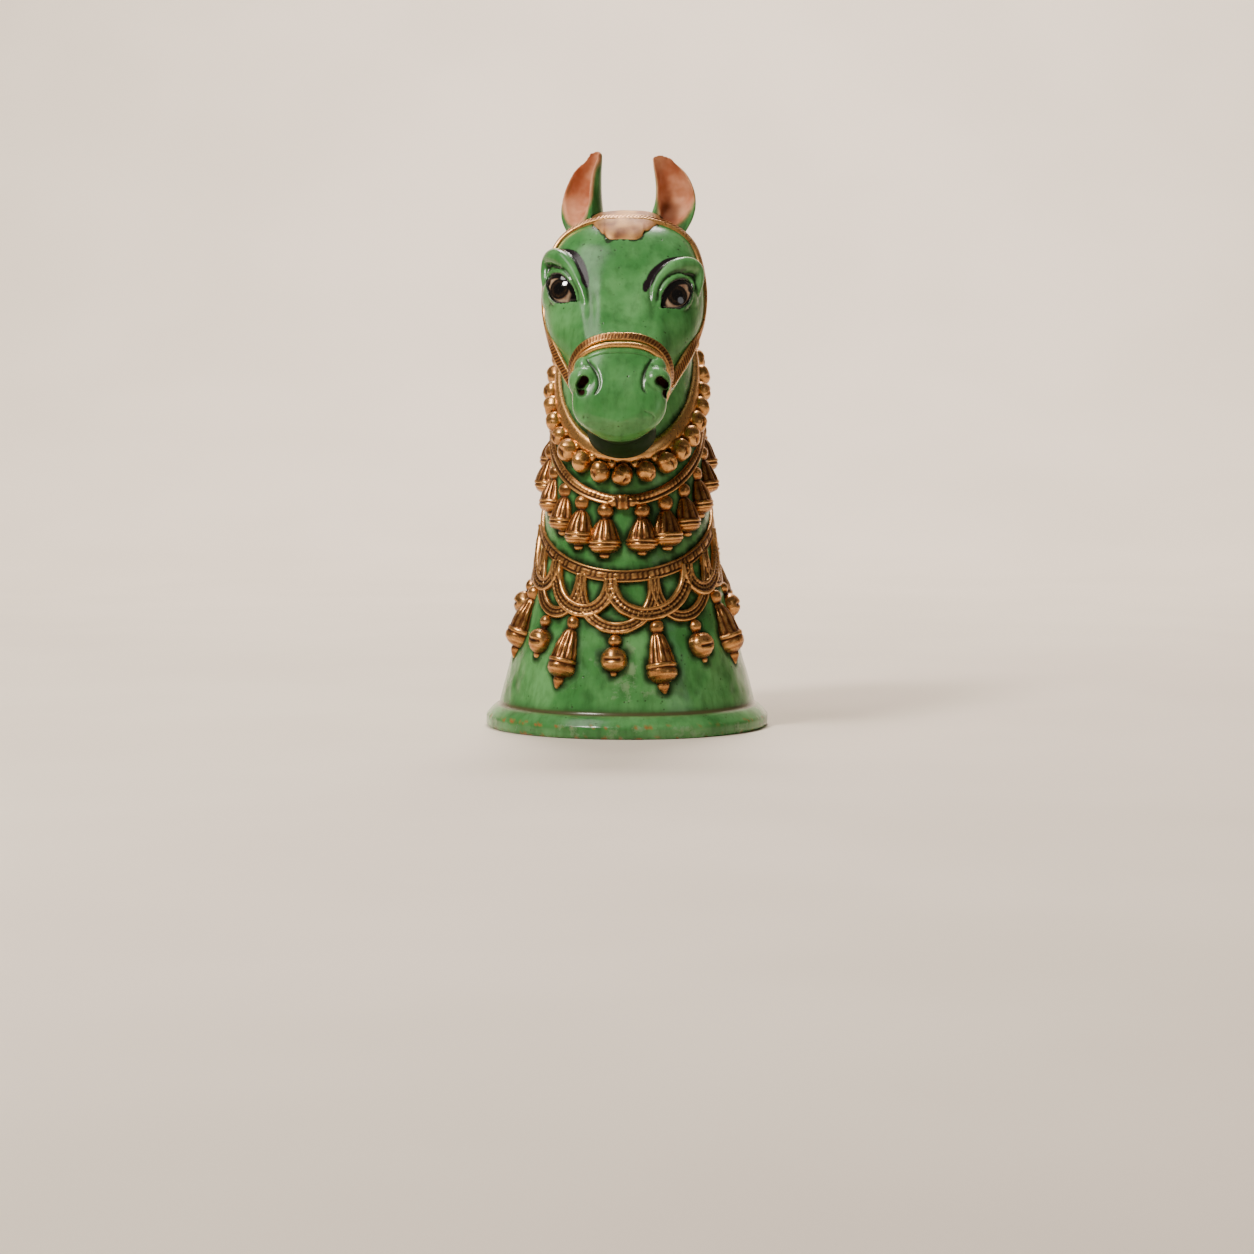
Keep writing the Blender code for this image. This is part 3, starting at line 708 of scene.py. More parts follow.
# %% [markdown]
# ## One skin for the whole head
# Carved forms run into each other. The pieces are joined and a voxel remesh gives them a
# single skin, which a few rounds of smoothing soften like sanded wood. The finest cuts come
# after that: nostril holes, the mouth, the creases round the eyes and beside the nose.

# %% Remesh and smooth
VOXEL = 1.0 * MM
head = joined("head", [head, chin, *bulbs, *ears, *mounds, *lids, *brows])
pick(head)
remesh = head.modifiers.new("skin", "REMESH")
remesh.mode = "VOXEL"
remesh.voxel_size = VOXEL
bpy.ops.object.modifier_apply(modifier="skin")
sand = head.modifiers.new("sand", "SMOOTH")
sand.factor = 0.5
sand.iterations = 4
bpy.ops.object.modifier_apply(modifier="sand")
print("skin points", len(head.data.vertices))


# %% Sockets for the painted eyeballs
EYE_HEART = np.array([1.5, -1.0])


def eye_outline(side, grow=0.0):
    """The opening's reach in millimetres at a bearing round the eye's heart."""
    upper = eased_line(UPPER_EDGE[side], 80)
    lower = eased_line(LOWER_EDGE[side], 80)
    rays = np.concatenate([upper, lower[::-1]]) - EYE_HEART
    bearing = np.arctan2(rays[:, 1], rays[:, 0])
    order = np.argsort(bearing)
    length = np.linalg.norm(rays[order], axis=1) + grow
    return lambda turn: np.interp(turn, bearing[order], length, period=2 * math.pi)


points = points_of(head)
for side in (-1, 1):
    middle, across, upward, outward = eye_frame(side)
    local = points - middle
    flat = np.stack([local @ across, local @ upward], -1)
    rays = flat / MM - EYE_HEART
    reach = eye_outline(side, 0.3)(np.arctan2(rays[:, 1], rays[:, 0]))
    out = local @ outward
    inside = (np.linalg.norm(rays, axis=1) < reach) & (np.abs(out) < 16 * MM)
    above = np.where(inside, np.maximum(out - (ball_fall(flat) - 1.0 * MM), 0), 0)
    points -= outward * above[:, None]
    print("socket points pressed", int((above > 0).sum()))
set_points(head, points)


# %% Cuts
def distance_to(points, line):
    """Distance from each point to a line of close points, and the share along it."""
    best = np.full(len(points), 1.0)
    where = np.zeros(len(points))
    for k, place in enumerate(line):
        far = np.linalg.norm(points - place, axis=1)
        nearer = far < best
        best[nearer] = far[nearer]
        where[nearer] = k / max(len(line) - 1, 1)
    return best, where


def cut(line, widths, depth, inwards=None):
    """Carves a groove along a line, wide and deep as given, and returns its mask."""
    points = points_of(head)
    line = np.asarray(line, float)
    near = np.all((points > line.min(0) - 0.02) & (points < line.max(0) + 0.02), axis=1)
    index = np.nonzero(near)[0]
    far, where = distance_to(points[index], resampled(line, np.linspace(0, 1, 60)))
    width = np.interp(where, np.linspace(0, 1, len(widths)), widths)
    strength = 1 - ease(0.35, 1.0, far / width)
    move = -normals_of(head)[index] if inwards is None else np.asarray(inwards, float)
    points[index] += move * (strength * depth)[:, None]
    set_points(head, points)
    mask = np.zeros(len(points))
    mask[index] = strength
    return mask


NOSTRIL_COMMAS = {
    -1: ((0.02, -1.0, 0.10), (-0.22, -0.90, -0.34), (0.06, -0.70, -0.70), (0.60, -0.48, -0.62)),
    1: (
        (0.36, -0.92, 0.08), (0.74, -0.55, -0.38), (0.42, -0.48, -0.78), (0.0, -0.50, -0.86),
        (-0.38, -0.74, -0.56),
    ),
}
holes = np.zeros(len(head.data.vertices))
for side in (-1, 1):
    centre = NOSTRIL * np.array([side, 1, 1])
    rays = unit(eased_line(NOSTRIL_COMMAS[side], 24))
    comma = centre + rays * (NOSTRIL_RADIUS * np.linspace(1.0, 1.22, 24))[:, None]
    inward = np.array([-0.10 * side, 0.98, 0.12])
    holes = np.maximum(holes, cut(comma[:6], mm(5.2, 5.0), 8.0 * MM, inward))
    holes = np.maximum(holes, cut(comma, mm(4.4, 4.2, 4.2, 3.8, 2.4), 4.8 * MM, inward))
print("nostril points", int((holes > 0.5).sum()))

# %% Mouth and creases
LIP_LINE = ((0, 138, 233), (12, 138, 234), (22, 134, 237), (31, 124, 241), (35, 110, 246), (36, 98, 252))
NOSE_CREASES = {
    -1: (
        (25.4, 126.1, 295.9), (19.7, 133.6, 289.9), (16.1, 138.8, 282.7), (15.8, 142.0, 275.7),
        (18.3, 143.4, 270.6),
    ),
    1: (
        (24.1, 126.8, 296.2), (19.8, 134.0, 289.2), (17.7, 139.0, 281.5), (18.6, 141.9, 273.5),
        (22.8, 142.6, 268.4),
    ),
}


def on_side(line, side):
    return [spot(x * side, forward, height) for x, forward, height in line]


creases = np.zeros(len(head.data.vertices))
for side in (-1, 1):
    cut(on_side(LIP_LINE, side), mm(1.8, 2.4, 2.4, 1.6), 2.0 * MM)
    crease = eased_line(on_side(NOSE_CREASES[side], side), 30)
    creases = np.maximum(creases, cut(crease, mm(1.2, 2.2, 2.4, 2.0, 1.0), 0.8 * MM))
print("creased points", int((creases > 0.5).sum()))

# %% Paint masks on the head
points = points_of(head)


def near_points(cloud, points, reach):
    """1 on points within reach of the cloud, fading just outside it."""
    return 1 - ease(reach, reach * 1.6, gaps_to(cloud, points))


high = points[:, 2] > EAR_FOOT - 2 * MM
ear_mask = np.zeros(len(points))
ear_mask[high] = near_points(np.concatenate(hollows), points[high], 1.3 * MM)
ear_mask = smeared(ear_mask, edges_of(head), 3)
paint_mask(head, "ear_hollow", ear_mask)
# Painted shade deep in the ear's hollow.
deep_mask = np.zeros(len(points))
deep_mask[high] = near_points(np.concatenate(deepest), points[high], 1.5 * MM)
paint_mask(head, "ear_deep_shade", 0.8 * smeared(deep_mask, edges_of(head), 14) * ear_mask)
paint_mask(head, "nostril_hole", holes)
BROW_STROKES = {
    -1: (
        (-51.5, 382.0, 0.4), (-44.7, 381.3, 1.4), (-39.3, 378.9, 2.6), (-35.2, 373.6, 3.3),
        (-32.2, 367.7, 3.6), (-30.1, 362.3, 3.3), (-28.6, 356.5, 2.8), (-27.6, 353.6, 1.8),
    ),
    1: (
        (47.0, 376.2, 0.4), (39.9, 375.1, 1.0), (34.1, 372.7, 2.0), (28.8, 368.1, 2.8),
        (24.1, 362.9, 3.3), (21.5, 357.3, 3.4), (18.8, 353.1, 3.0), (18.3, 350.4, 2.0),
    ),
}
LID_CREASES = {
    -1: (
        (-56.0, 369.8), (-48.5, 366.9), (-42.7, 362.2), (-37.8, 355.4), (-34.6, 347.9),
        (-33.7, 342.0),
    ),
    1: ((49.0, 365.8), (40.6, 364.9), (34.6, 361.0), (29.5, 353.3), (27.9, 342.6)),
}
normals = normals_of(head)
in_front = (points[:, 1] < -35 * MM) & (normals[:, 1] < 0.2) & (points[:, 2] > 325 * MM)


def painted(line, half, soft=0.15):
    """Mask of a brush stroke seen from the front, from (x, z) places and half widths."""
    shape = eased_line(line, 90, 2)
    mask = np.zeros(len(points))
    index = np.nonzero(in_front)[0]
    flat = points[index][:, [0, 2]]
    far, run = distance_to(flat, shape[:, :2] * MM)
    wide = shape[:, 2] * MM if shape.shape[1] > 2 else np.full(90, half)
    wide = np.interp(run, np.linspace(0, 1, 90), wide)
    mask[index] = 1 - ease(1 - soft, 1 + soft, far / np.maximum(wide, 0.1 * MM))
    return mask


brow_paint = np.zeros(len(points))
liner_and_crease_shade = np.zeros(len(points))
for side in (-1, 1):
    brow_paint = np.maximum(brow_paint, painted(BROW_STROKES[side], 0))
    # The creases between the brow rolls and the upper lids get painted shade; the lid edges below get the
    # black painted liner.
    liner_and_crease_shade = np.maximum(liner_and_crease_shade, 0.6 * painted(LID_CREASES[side], 0.9 * MM, 0.6))
    for edge, reach in ((UPPER_EDGE, 1.5), (LOWER_EDGE, 1.0)):
        near = np.nonzero(in_front & (points[:, 0] * side > 0))[0]
        far, _ = distance_to(points[near], on_eyeball(side, eased_line(edge[side], 90) * MM, 0.4 * MM))
        liner_and_crease_shade[near] = np.maximum(liner_and_crease_shade[near], 1 - ease(reach * MM, (reach + 0.7) * MM, far))
paint_mask(head, "brow_paint", brow_paint)
paint_mask(head, "liner_and_crease_shade", liner_and_crease_shade)
low = np.nonzero(points[:, 2] < 250 * MM)[0]
shaded = np.zeros(len(points))
lip_edge = 234 * MM + 10.5 * points[low, 0] ** 2
below_lip = 1 - ease(-1.2 * MM, 0.5 * MM, points[low, 2] - lip_edge)
under_lip = (points[low, 1] > -126 * MM) & (points[low, 2] < 243 * MM)
behind = near_points(chin_cloud, points[low], 1.6 * MM) * under_lip
shaded[low] = 0.92 * np.maximum(below_lip, behind)
shaded = smeared(shaded, edges_of(head), 2)
paint_mask(head, "shaded", np.maximum(shaded, 0.25 * creases))
print("painted brow points", int((brow_paint > 0.5).sum()), "liner points", int((liner_and_crease_shade > 0.5).sum()))

# %% [markdown]
# ## Paints
# Two finishes cover the figurine. The green is old gloss enamel over carved wood: mottled,
# darkened in the hollows with painted shade, rubbed to a pale undercoat on proud places and
# full of fine dark specks. The ornaments are copper-gold paint, nearly black in the cuts and
# bright where fingers have polished them. Each finish is a node group, so that materials can share it.

# %% Node helpers
def srgb(red, green, blue):
    """A colour given in 0 to 255, as the linear values that Blender mixes."""
    linear = [((c / 255 + 0.055) / 1.055) ** 2.4 if c > 10 else c / 3295 for c in (red, green, blue)]
    return (*linear, 1.0)


def node(tree, kind, inputs=None, **settings):
    """Adds a node, sets its options, and fills or links its inputs."""
    made = tree.nodes.new(kind)
    for key, value in settings.items():
        setattr(made, key, value)
    for key, value in (inputs or {}).items():
        if isinstance(value, bpy.types.NodeSocket):
            tree.links.new(value, made.inputs[key])
        else:
            made.inputs[key].default_value = value
    return made


def mix(tree, factor, first, second):
    """Colour mix: first where the factor is 0, second where it is 1."""
    made = node(tree, "ShaderNodeMix", {0: factor, 6: first, 7: second}, data_type="RGBA")
    return made.outputs[2]


def maths(tree, operation, first, second, clamp=False):
    made = node(tree, "ShaderNodeMath", {0: first, 1: second}, operation=operation, use_clamp=clamp)
    return made.outputs[0]


def times(tree, first, second, clamp=False):
    return maths(tree, "MULTIPLY", first, second, clamp)


def plus(tree, first, second):
    return maths(tree, "ADD", first, second)


def minus(tree, first, second, clamp=False):
    return maths(tree, "SUBTRACT", first, second, clamp)


def ramp(tree, factor, low, high):
    """0 below low, 1 above high, smooth between."""
    made = node(tree, "ShaderNodeMapRange", {0: factor, 1: low, 2: high}, interpolation_type="SMOOTHSTEP")
    return made.outputs[0]


def grain(tree, place, scale, detail=3.0, rough_share=0.55):
    inputs = {"Vector": place, "Scale": scale, "Detail": detail, "Roughness": rough_share}
    return node(tree, "ShaderNodeTexNoise", inputs).outputs[0]


def mask(tree, name):
    return node(tree, "ShaderNodeAttribute", attribute_name=name).outputs["Fac"]


def group_of(name, inputs, outputs):
    """A node group with named sockets, and its two end nodes."""
    group = bpy.data.node_groups.new(name, "ShaderNodeTree")
    for label, kind, value in inputs:
        socket = group.interface.new_socket(label, in_out="INPUT", socket_type=kind)
        socket.default_value = value
    for label, kind in outputs:
        group.interface.new_socket(label, in_out="OUTPUT", socket_type=kind)
    return group, group.nodes.new("NodeGroupInput"), group.nodes.new("NodeGroupOutput")


COLOR = "NodeSocketColor"
FLOAT = "NodeSocketFloat"

# %% Old enamel
enamel, given, result = group_of(
    "old_enamel",
    (
        ("Paint", COLOR, srgb(62, 122, 62)),
        ("Light", COLOR, srgb(98, 158, 94)),
        ("Dark", COLOR, srgb(22, 34, 13)),
        ("Undercoat", COLOR, srgb(132, 158, 118)),
        ("Hollow", FLOAT, 0.0),
        ("Proud", FLOAT, 0.0),
        ("Scuff and sheen", FLOAT, 0.0),
    ),
    (("Color", COLOR), ("Roughness", FLOAT), ("Height", FLOAT)),
)
place = node(enamel, "ShaderNodeTexCoord").outputs["Object"]
brushed = node(enamel, "ShaderNodeMapping", {"Vector": place, "Scale": (1.0, 1.0, 0.28)}).outputs[0]
mottle = grain(enamel, place, 22.0, 4.0)
streak = grain(enamel, brushed, 150.0, 4.0, 0.6)
fine = grain(enamel, place, 480.0, 3.0, 0.6)
color = mix(enamel, ramp(enamel, mottle, 0.36, 0.68), given.outputs["Paint"], given.outputs["Light"])
color = mix(enamel, times(enamel, ramp(enamel, streak, 0.40, 0.75), 0.35), color, given.outputs["Dark"])
# Painted shade: the hollows are darkened nearly to the dark green.
hollow_shade = times(enamel, given.outputs["Hollow"], 0.95, True)
color = mix(enamel, hollow_shade, color, given.outputs["Dark"])
touched = times(enamel, given.outputs["Proud"], 0.22)
# The scuff input rubs towards the undercoat, partly worn paint and partly painted sheen.
rub = plus(enamel, touched, times(enamel, given.outputs["Scuff and sheen"], 0.26))
patch = grain(enamel, place, 60.0, 6.0, 0.68)
rubbed = ramp(enamel, plus(enamel, patch, rub), 0.76, 0.92)
color = mix(enamel, times(enamel, rubbed, 0.6), color, given.outputs["Undercoat"])
cells = {"Vector": place, "Scale": 210.0, "Randomness": 1.0}
spots = node(enamel, "ShaderNodeTexVoronoi", cells).outputs["Distance"]
where = ramp(enamel, grain(enamel, place, 75.0, 2.0), 0.50, 0.66)
dots = minus(enamel, 1.0, ramp(enamel, spots, 0.10, 0.24))
speck = times(enamel, dots, where)
color = mix(enamel, times(enamel, speck, 0.8), color, srgb(34, 40, 22))
enamel.links.new(color, result.inputs["Color"])
worn = plus(enamel, times(enamel, rubbed, 0.20), times(enamel, fine, 0.14))
enamel.links.new(plus(enamel, worn, 0.16), result.inputs["Roughness"])
relief = plus(enamel, times(enamel, streak, 0.35), times(enamel, fine, 0.12))
relief = minus(enamel, relief, times(enamel, speck, 0.5))
relief = minus(enamel, relief, times(enamel, rubbed, 0.25))
enamel.links.new(relief, result.inputs["Height"])

# %% Rubbed gilding
gilding, given, result = group_of(
    "rubbed_gilding",
    (
        ("Gold", COLOR, srgb(153, 95, 48)),
        ("Bright", COLOR, srgb(222, 166, 100)),
        ("Dark", COLOR, srgb(58, 33, 16)),
        ("Hollow", FLOAT, 0.0),
        ("Proud", FLOAT, 0.0),
    ),
    (("Color", COLOR), ("Roughness", FLOAT), ("Height", FLOAT)),
)
place = node(gilding, "ShaderNodeTexCoord").outputs["Object"]
cloud = grain(gilding, place, 55.0, 4.0)
fine = grain(gilding, place, 420.0, 4.0, 0.65)
color = mix(gilding, ramp(gilding, cloud, 0.35, 0.70), srgb(108, 62, 30), given.outputs["Gold"])
shine = times(gilding, given.outputs["Proud"], plus(gilding, fine, 0.35), True)
color = mix(gilding, shine, color, given.outputs["Bright"])
grime = times(gilding, given.outputs["Hollow"], plus(gilding, cloud, 0.65), True)
color = mix(gilding, grime, color, given.outputs["Dark"])
pits = ramp(gilding, grain(gilding, place, 240.0, 5.0, 0.7), 0.62, 0.72)
color = mix(gilding, times(gilding, pits, 0.6), color, srgb(96, 58, 34))
gilding.links.new(color, result.inputs["Color"])
dull = plus(gilding, times(gilding, grime, 0.25), times(gilding, fine, 0.25))
gilding.links.new(plus(gilding, dull, 0.17), result.inputs["Roughness"])
relief = minus(gilding, times(gilding, fine, 0.5), times(gilding, pits, 0.5))
gilding.links.new(relief, result.inputs["Height"])


# %% Materials from the groups
def new_material(name):
    material = bpy.data.materials.new(name)
    material.use_nodes = True
    return material, material.node_tree, material.node_tree.nodes["Principled BSDF"]


def dressed(tree, shader, color, roughness, height, depth):
    tree.links.new(color, shader.inputs["Base Color"])
    tree.links.new(roughness, shader.inputs["Roughness"])
    bump = node(tree, "ShaderNodeBump", {"Height": height, "Distance": depth, "Strength": 0.6})
    tree.links.new(bump.outputs[0], shader.inputs["Normal"])


green, tree, shader = new_material("green_enamel")
coat = node(tree, "ShaderNodeGroup", node_tree=enamel)
for label, name in (("Hollow", "hollow"), ("Proud", "proud"), ("Scuff and sheen", "scuffed_and_sheen")):
    tree.links.new(mask(tree, name), coat.inputs[label])
place = node(tree, "ShaderNodeTexCoord").outputs["Object"]
blotch = ramp(tree, grain(tree, place, 38.0, 3.0), 0.35, 0.65)
clay = mix(tree, blotch, srgb(182, 108, 76), srgb(220, 158, 122))
color = coat.outputs["Color"]
PAINTED_OVER = (
    ("shaded", srgb(17, 22, 8)),
    ("ear_hollow", clay),
    ("ear_deep_shade", srgb(92, 42, 26)),
    ("brow_paint", srgb(30, 22, 26)),
    ("liner_and_crease_shade", srgb(16, 12, 12)),
    ("plate_edge", srgb(26, 22, 12)),
    ("nostril_hole", srgb(40, 13, 14)),
    ("dusty", srgb(100, 92, 62)),
    ("chipped", srgb(158, 92, 50)),
)
for name, over in PAINTED_OVER:
    color = mix(tree, mask(tree, name), color, over)
# Painted shade, nostril holes and ear hollows lose most of their gloss.
shade_and_matt = maths(tree, "MAXIMUM", mask(tree, "shaded"), mask(tree, "nostril_hole"))
shade_and_matt = maths(tree, "MAXIMUM", shade_and_matt, mask(tree, "ear_hollow"))
dull = plus(tree, coat.outputs["Roughness"], times(tree, shade_and_matt, 0.5))
dressed(tree, shader, color, dull, coat.outputs["Height"], 0.5 * MM)
clear = minus(tree, 0.32, times(tree, shade_and_matt, 0.28), True)
tree.links.new(clear, shader.inputs["Coat Weight"])
tree.links.new(clear, shader.inputs["Specular IOR Level"])
shader.inputs["Coat Roughness"].default_value = 0.18
shader.inputs["Coat IOR"].default_value = 1.4
shader.inputs["IOR"].default_value = 1.4

gold, tree, shader = new_material("copper_gilding")
coat = node(tree, "ShaderNodeGroup", node_tree=gilding)
tree.links.new(mask(tree, "hollow"), coat.inputs["Hollow"])
tree.links.new(mask(tree, "proud"), coat.inputs["Proud"])
dull = plus(tree, coat.outputs["Roughness"], times(tree, mask(tree, "matt"), 0.28))
dressed(tree, shader, coat.outputs["Color"], dull, coat.outputs["Height"], 0.25 * MM)
metal = minus(tree, 0.85, times(tree, mask(tree, "matt"), 0.5))
tree.links.new(metal, shader.inputs["Metallic"])

eye_paint, tree, shader = new_material("eye_paint")
place = node(tree, "ShaderNodeTexCoord").outputs["Object"]
fleck = grain(tree, place, 900.0, 4.0)
patches = ramp(tree, grain(tree, place, 160.0, 3.0), 0.35, 0.7)
cream = mix(tree, patches, srgb(176, 148, 120), srgb(128, 94, 74))
iris = mix(tree, ramp(tree, fleck, 0.35, 0.65), srgb(14, 10, 8), srgb(50, 36, 22))
color = mix(tree, mask(tree, "iris"), cream, iris)
color = mix(tree, mask(tree, "black"), color, srgb(8, 7, 7))
dressed(tree, shader, color, ramp(tree, fleck, -1.0, 9.0), fleck, 0.05 * MM)
shader.inputs["Coat Weight"].default_value = 1.0
shader.inputs["Coat Roughness"].default_value = 0.05
print("materials", [m.name for m in (green, gold, eye_paint)])

# %% Head and eyes take their paint
finish_piece(head, green, 8, 0.45 * MM)
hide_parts("horse_head_figurine")
for side in (-1, 1):
    eye, share, turn = ball_start(f"eye_{'left' if side > 0 else 'right'}", 120, 100)
    spread = np.sin(share * math.pi) * eye_outline(side, 1.0)(turn)
    flat = (EYE_HEART + np.stack([np.cos(turn) * spread, np.sin(turn) * spread], -1)) * MM
    middle, across, upward, outward = eye_frame(side)
    points = on_eyeball(side, flat)
    back = share > 0.5
    points[back] += outward * (np.cos(share[back] * math.pi) * 5 * MM)[:, None]
    shaped(eye, points)
    from_middle = np.linalg.norm(flat, axis=1)
    paint_mask(eye, "iris", 1 - ease(7.6 * MM, 8.3 * MM, from_middle))
    pupil = 1 - ease(4.0 * MM, 5.8 * MM, from_middle)
    border = 0.95 * hump(from_middle, 7.8 * MM, 1.1 * MM)
    above, _ = distance_to(flat, eased_line(UPPER_EDGE[side], 90) * MM)
    below, _ = distance_to(flat, eased_line(LOWER_EDGE[side], 90) * MM)
    # Black liner along the lid edges, widened under the upper lid as the lid's painted shadow.
    liner_and_lid_shadow = np.maximum(1 - ease(3.0 * MM, 4.8 * MM, above), 1 - ease(0.9 * MM, 1.8 * MM, below))
    corner = ease(9.5 * MM, 12.5 * MM, flat[:, 0] - 0.3 * flat[:, 1])
    paint_mask(eye, "black", np.maximum.reduce([pupil, border, liner_and_lid_shadow, corner]))
    finish_piece(eye, eye_paint)


# %% [markdown]
# ## Straps, cords and bands
# Every strap on the figurine is carved flat against the form below it. One tool makes them
# all: a ball, or a ring where the strap runs all round, is wrapped along a line of points,
# and a small function gives the height of its carving across and along.

# %% The strap tool
def hand_cut(obj, amount, size, seed):
    """Takes the sameness out of a row: each ornament is cut a little differently."""
    points = points_of(obj)
    set_points(obj, points + normals_of(obj) * (amount * rough(points, size, seed))[:, None])


def laid_strap(name, points, normals, width, carving, root, steps, around=20, closed=False):
    """A strap laid along points, with carving(across, along) as its height in metres."""
    if closed:
        points = np.concatenate([points, points[:1]])
        normals = np.concatenate([normals, normals[:1]])
        deselect()
        bpy.ops.mesh.primitive_torus_add(
            major_segments=steps, minor_segments=around, major_radius=1.0, minor_radius=0.25
        )
        obj = bpy.context.object
        obj.name = name
        start = points_of(obj)
        share = (np.arctan2(start[:, 1], start[:, 0]) / (2 * math.pi)) % 1
        turn = np.arctan2(start[:, 2], np.hypot(start[:, 0], start[:, 1]) - 1)
    else:
        obj, share, turn = ball_start(name, around, steps)
    run = run_along(points)
    at = share * run[-1]

    def sampled(values, where):
        where = where % run[-1] if closed else np.clip(where, 0, run[-1])
        return between_knots(where, run, values)

    step = 1.5 * MM
    middle = sampled(points, at)
    lead = unit(sampled(points, at + step) - sampled(points, at - step))
    normal = unit(sampled(normals, at))
    across = unit(np.cross(lead, normal))
    u = np.cos(turn)
    crown = np.sqrt(np.clip(1 - np.abs(u) ** 10, 0, 1))
    top = carving(u, at) * crown
    lift = np.where(np.sin(turn) >= 0, top, -root * np.abs(np.sin(turn)))
    if not closed:
        pole = (share < 1e-6) | (share > 1 - 1e-6)
        u = np.where(pole, 0, u)
        lift = np.where(pole, 0, lift)
    return shaped(obj, middle + across * (u * width / 2)[:, None] + normal * lift[:, None])


def cord_round(u, centre, half):
    """Height of a round cord of unit size at its place across the strap."""
    return np.sqrt(np.clip(1 - ((u - centre) / half) ** 2, 0, 1))


def two_cords(u, centre, half):
    """The same for a pair of cords, one along each edge of the strap."""
    return np.maximum(cord_round(u, -centre, half), cord_round(u, centre, half))


def beaded(at, pitch):
    """A row of little balls along a cord, from 0 between them to 1 on top."""
    return np.abs(np.sin(math.pi * at / pitch)) ** 0.6


# %% [markdown]
# ## The halter
# A flat gold headstall frames the face from the poll down both cheeks. It meets a noseband of
# two parts: a finely ribbed strap above and a plain roll below, with a low green step under
# it. A smooth gold cap with a worn edge lies on the crown between the ears.

# %% Headstall
HEADSTALL_LINE = (
    (0.195, 0.002), (0.195, 0.025), (0.197, 0.065), (0.200, 0.125), (0.212, 0.190), (0.232, 0.270),
    (0.256, 0.360), (0.288, 0.440), (0.345, 0.468), (0.430, 0.448), (0.535, 0.465), (0.615, 0.475),
)
where = np.array(HEADSTALL_LINE)
knots = np.linspace(0, 1, len(where))
fine = np.stack([through(np.linspace(0, 1, 260), knots, where[:, k]) for k in (0, 1)], -1)
fine[:, 1] = np.maximum(fine[:, 1], 0.002)
left_points = head_at(fine[:, 0], fine[:, 1], 1)
left_normals = head_normal(fine[:, 0], fine[:, 1], 1)
left_points += left_normals * (2.0 * MM * hump(fine[:, 1], 0.12, 0.09))[:, None]
turned_out = ease(0.31, 0.45, fine[:, 0])[:, None] * np.array([0, -0.9, 0.1])
left_normals = unit(left_normals + turned_out)
mirror = np.array([-1, 1, 1])
rope_points = np.concatenate([left_points[:0:-1] * mirror, left_points])
rope_normals = np.concatenate([left_normals[:0:-1] * mirror, left_normals])
HALTER_STRAP_WIDTH = 8.4 * MM


def hatched(u, at):
    hatch = np.abs(np.sin(math.pi * (at / (3.0 * MM) + 0.7 * u)))
    lip = two_cords(u, 0.84, 0.17)
    return np.maximum((2.0 + 0.65 * hatch) * (np.abs(u) < 0.70), lip * 2.9) * MM


headstall = laid_strap(
    "headstall", rope_points, rope_normals, HALTER_STRAP_WIDTH, hatched, 3 * MM, 1300, 22
)
finish_piece(headstall, gold, 3, 0.32 * MM)


# %% Noseband
def around_nose(shift):
    """A ring round the muzzle, moved along the nose by a share of the head's length."""
    turn = np.linspace(0, 2 * math.pi, 240, endpoint=False)
    down = np.clip((1 - np.cos(turn)) / 2, 0.001, 0.999)
    side = np.where(np.sin(turn) >= 0, 1.0, -1.0)
    along = 0.64 - 0.03 * down + shift
    points = head_at(along, down, side)
    normals = np.stack([head_normal(a, d, s) for a, d, s in zip(along, down, side)])
    for _ in range(6):
        normals = unit(normals + np.roll(normals, 1, 0) + np.roll(normals, -1, 0))
    return points, normals


def ribbed(u, at):
    ribs = np.abs(np.sin(math.pi * (at / (2.5 * MM) + 0.3 * u))) ** 0.8
    edge = two_cords(u, 0.86, 0.16)
    return np.maximum((2.1 + 0.5 * ribs) * MM * (np.abs(u) < 0.74), edge * 2.8 * MM)


def plain_roll(u, at):
    return cord_round(u, 0, 1.02) * 3.0 * MM


def low_step(u, at):
    return cord_round(u, 0, 1.02) * 1.3 * MM


strap = laid_strap("strap", *around_nose(0.0), 7.4 * MM, ribbed, 3 * MM, 720, 22, closed=True)
under_roll = laid_strap("roll", *around_nose(0.036), 5.0 * MM, plain_roll, 2 * MM, 300, 14, closed=True)
noseband = joined("noseband", [strap, under_roll])
finish_piece(noseband, gold, 3, 0.32 * MM)
step = laid_strap("nose_step", *around_nose(0.064), 4.2 * MM, low_step, 2 * MM, 300, 14, closed=True)
finish_piece(step, green, 3, 0.3 * MM)

# %% Crown plate
plate, share, turn = ball_start("crown_plate", 180, 60)
worn_edge = 1 + 0.03 * np.sin(3 * turn + 1.0) + 0.03 * np.sin(9 * turn) + 0.02 * np.sin(17 * turn + 2.0)
spread = np.sin(share * math.pi) * worn_edge
across = 27.5 * MM * spread * np.cos(turn)
along = np.clip(0.150 - 0.152 * spread * np.sin(turn), 0.002, 1)
downs = np.linspace(0.0, WIDEST_SHARE, 80)
tables = [head_at(np.full(80, place), downs, 1)[:, 0] for place in along]
down = np.array([np.interp(abs(x), table, downs) for x, table in zip(across, tables)])
side = np.where(across < 0, -1.0, 1.0)
under = head_at(along, down, side)
out = head_normal(along, np.maximum(down, 0.01), side)
out = relaxed(unit(out), edges_of(plate), 12)
top = 2.4 * MM * np.clip(1 - spread**8, 0, 1) ** 0.5
lift = np.where(share < 0.5, top, -3 * MM * np.cos((1 - share) * math.pi))
shaped(plate, under + unit(out) * lift[:, None])
hand_cut(plate, 0.4 * MM, 10 * MM, 15)
paint_mask(plate, "matt", np.ones(len(share)))
finish_piece(plate, gold, 5, 0.3 * MM)
edge_points = points_of(plate)[(spread > 0.92 * worn_edge) & (share < 0.55)]
points = points_of(head)
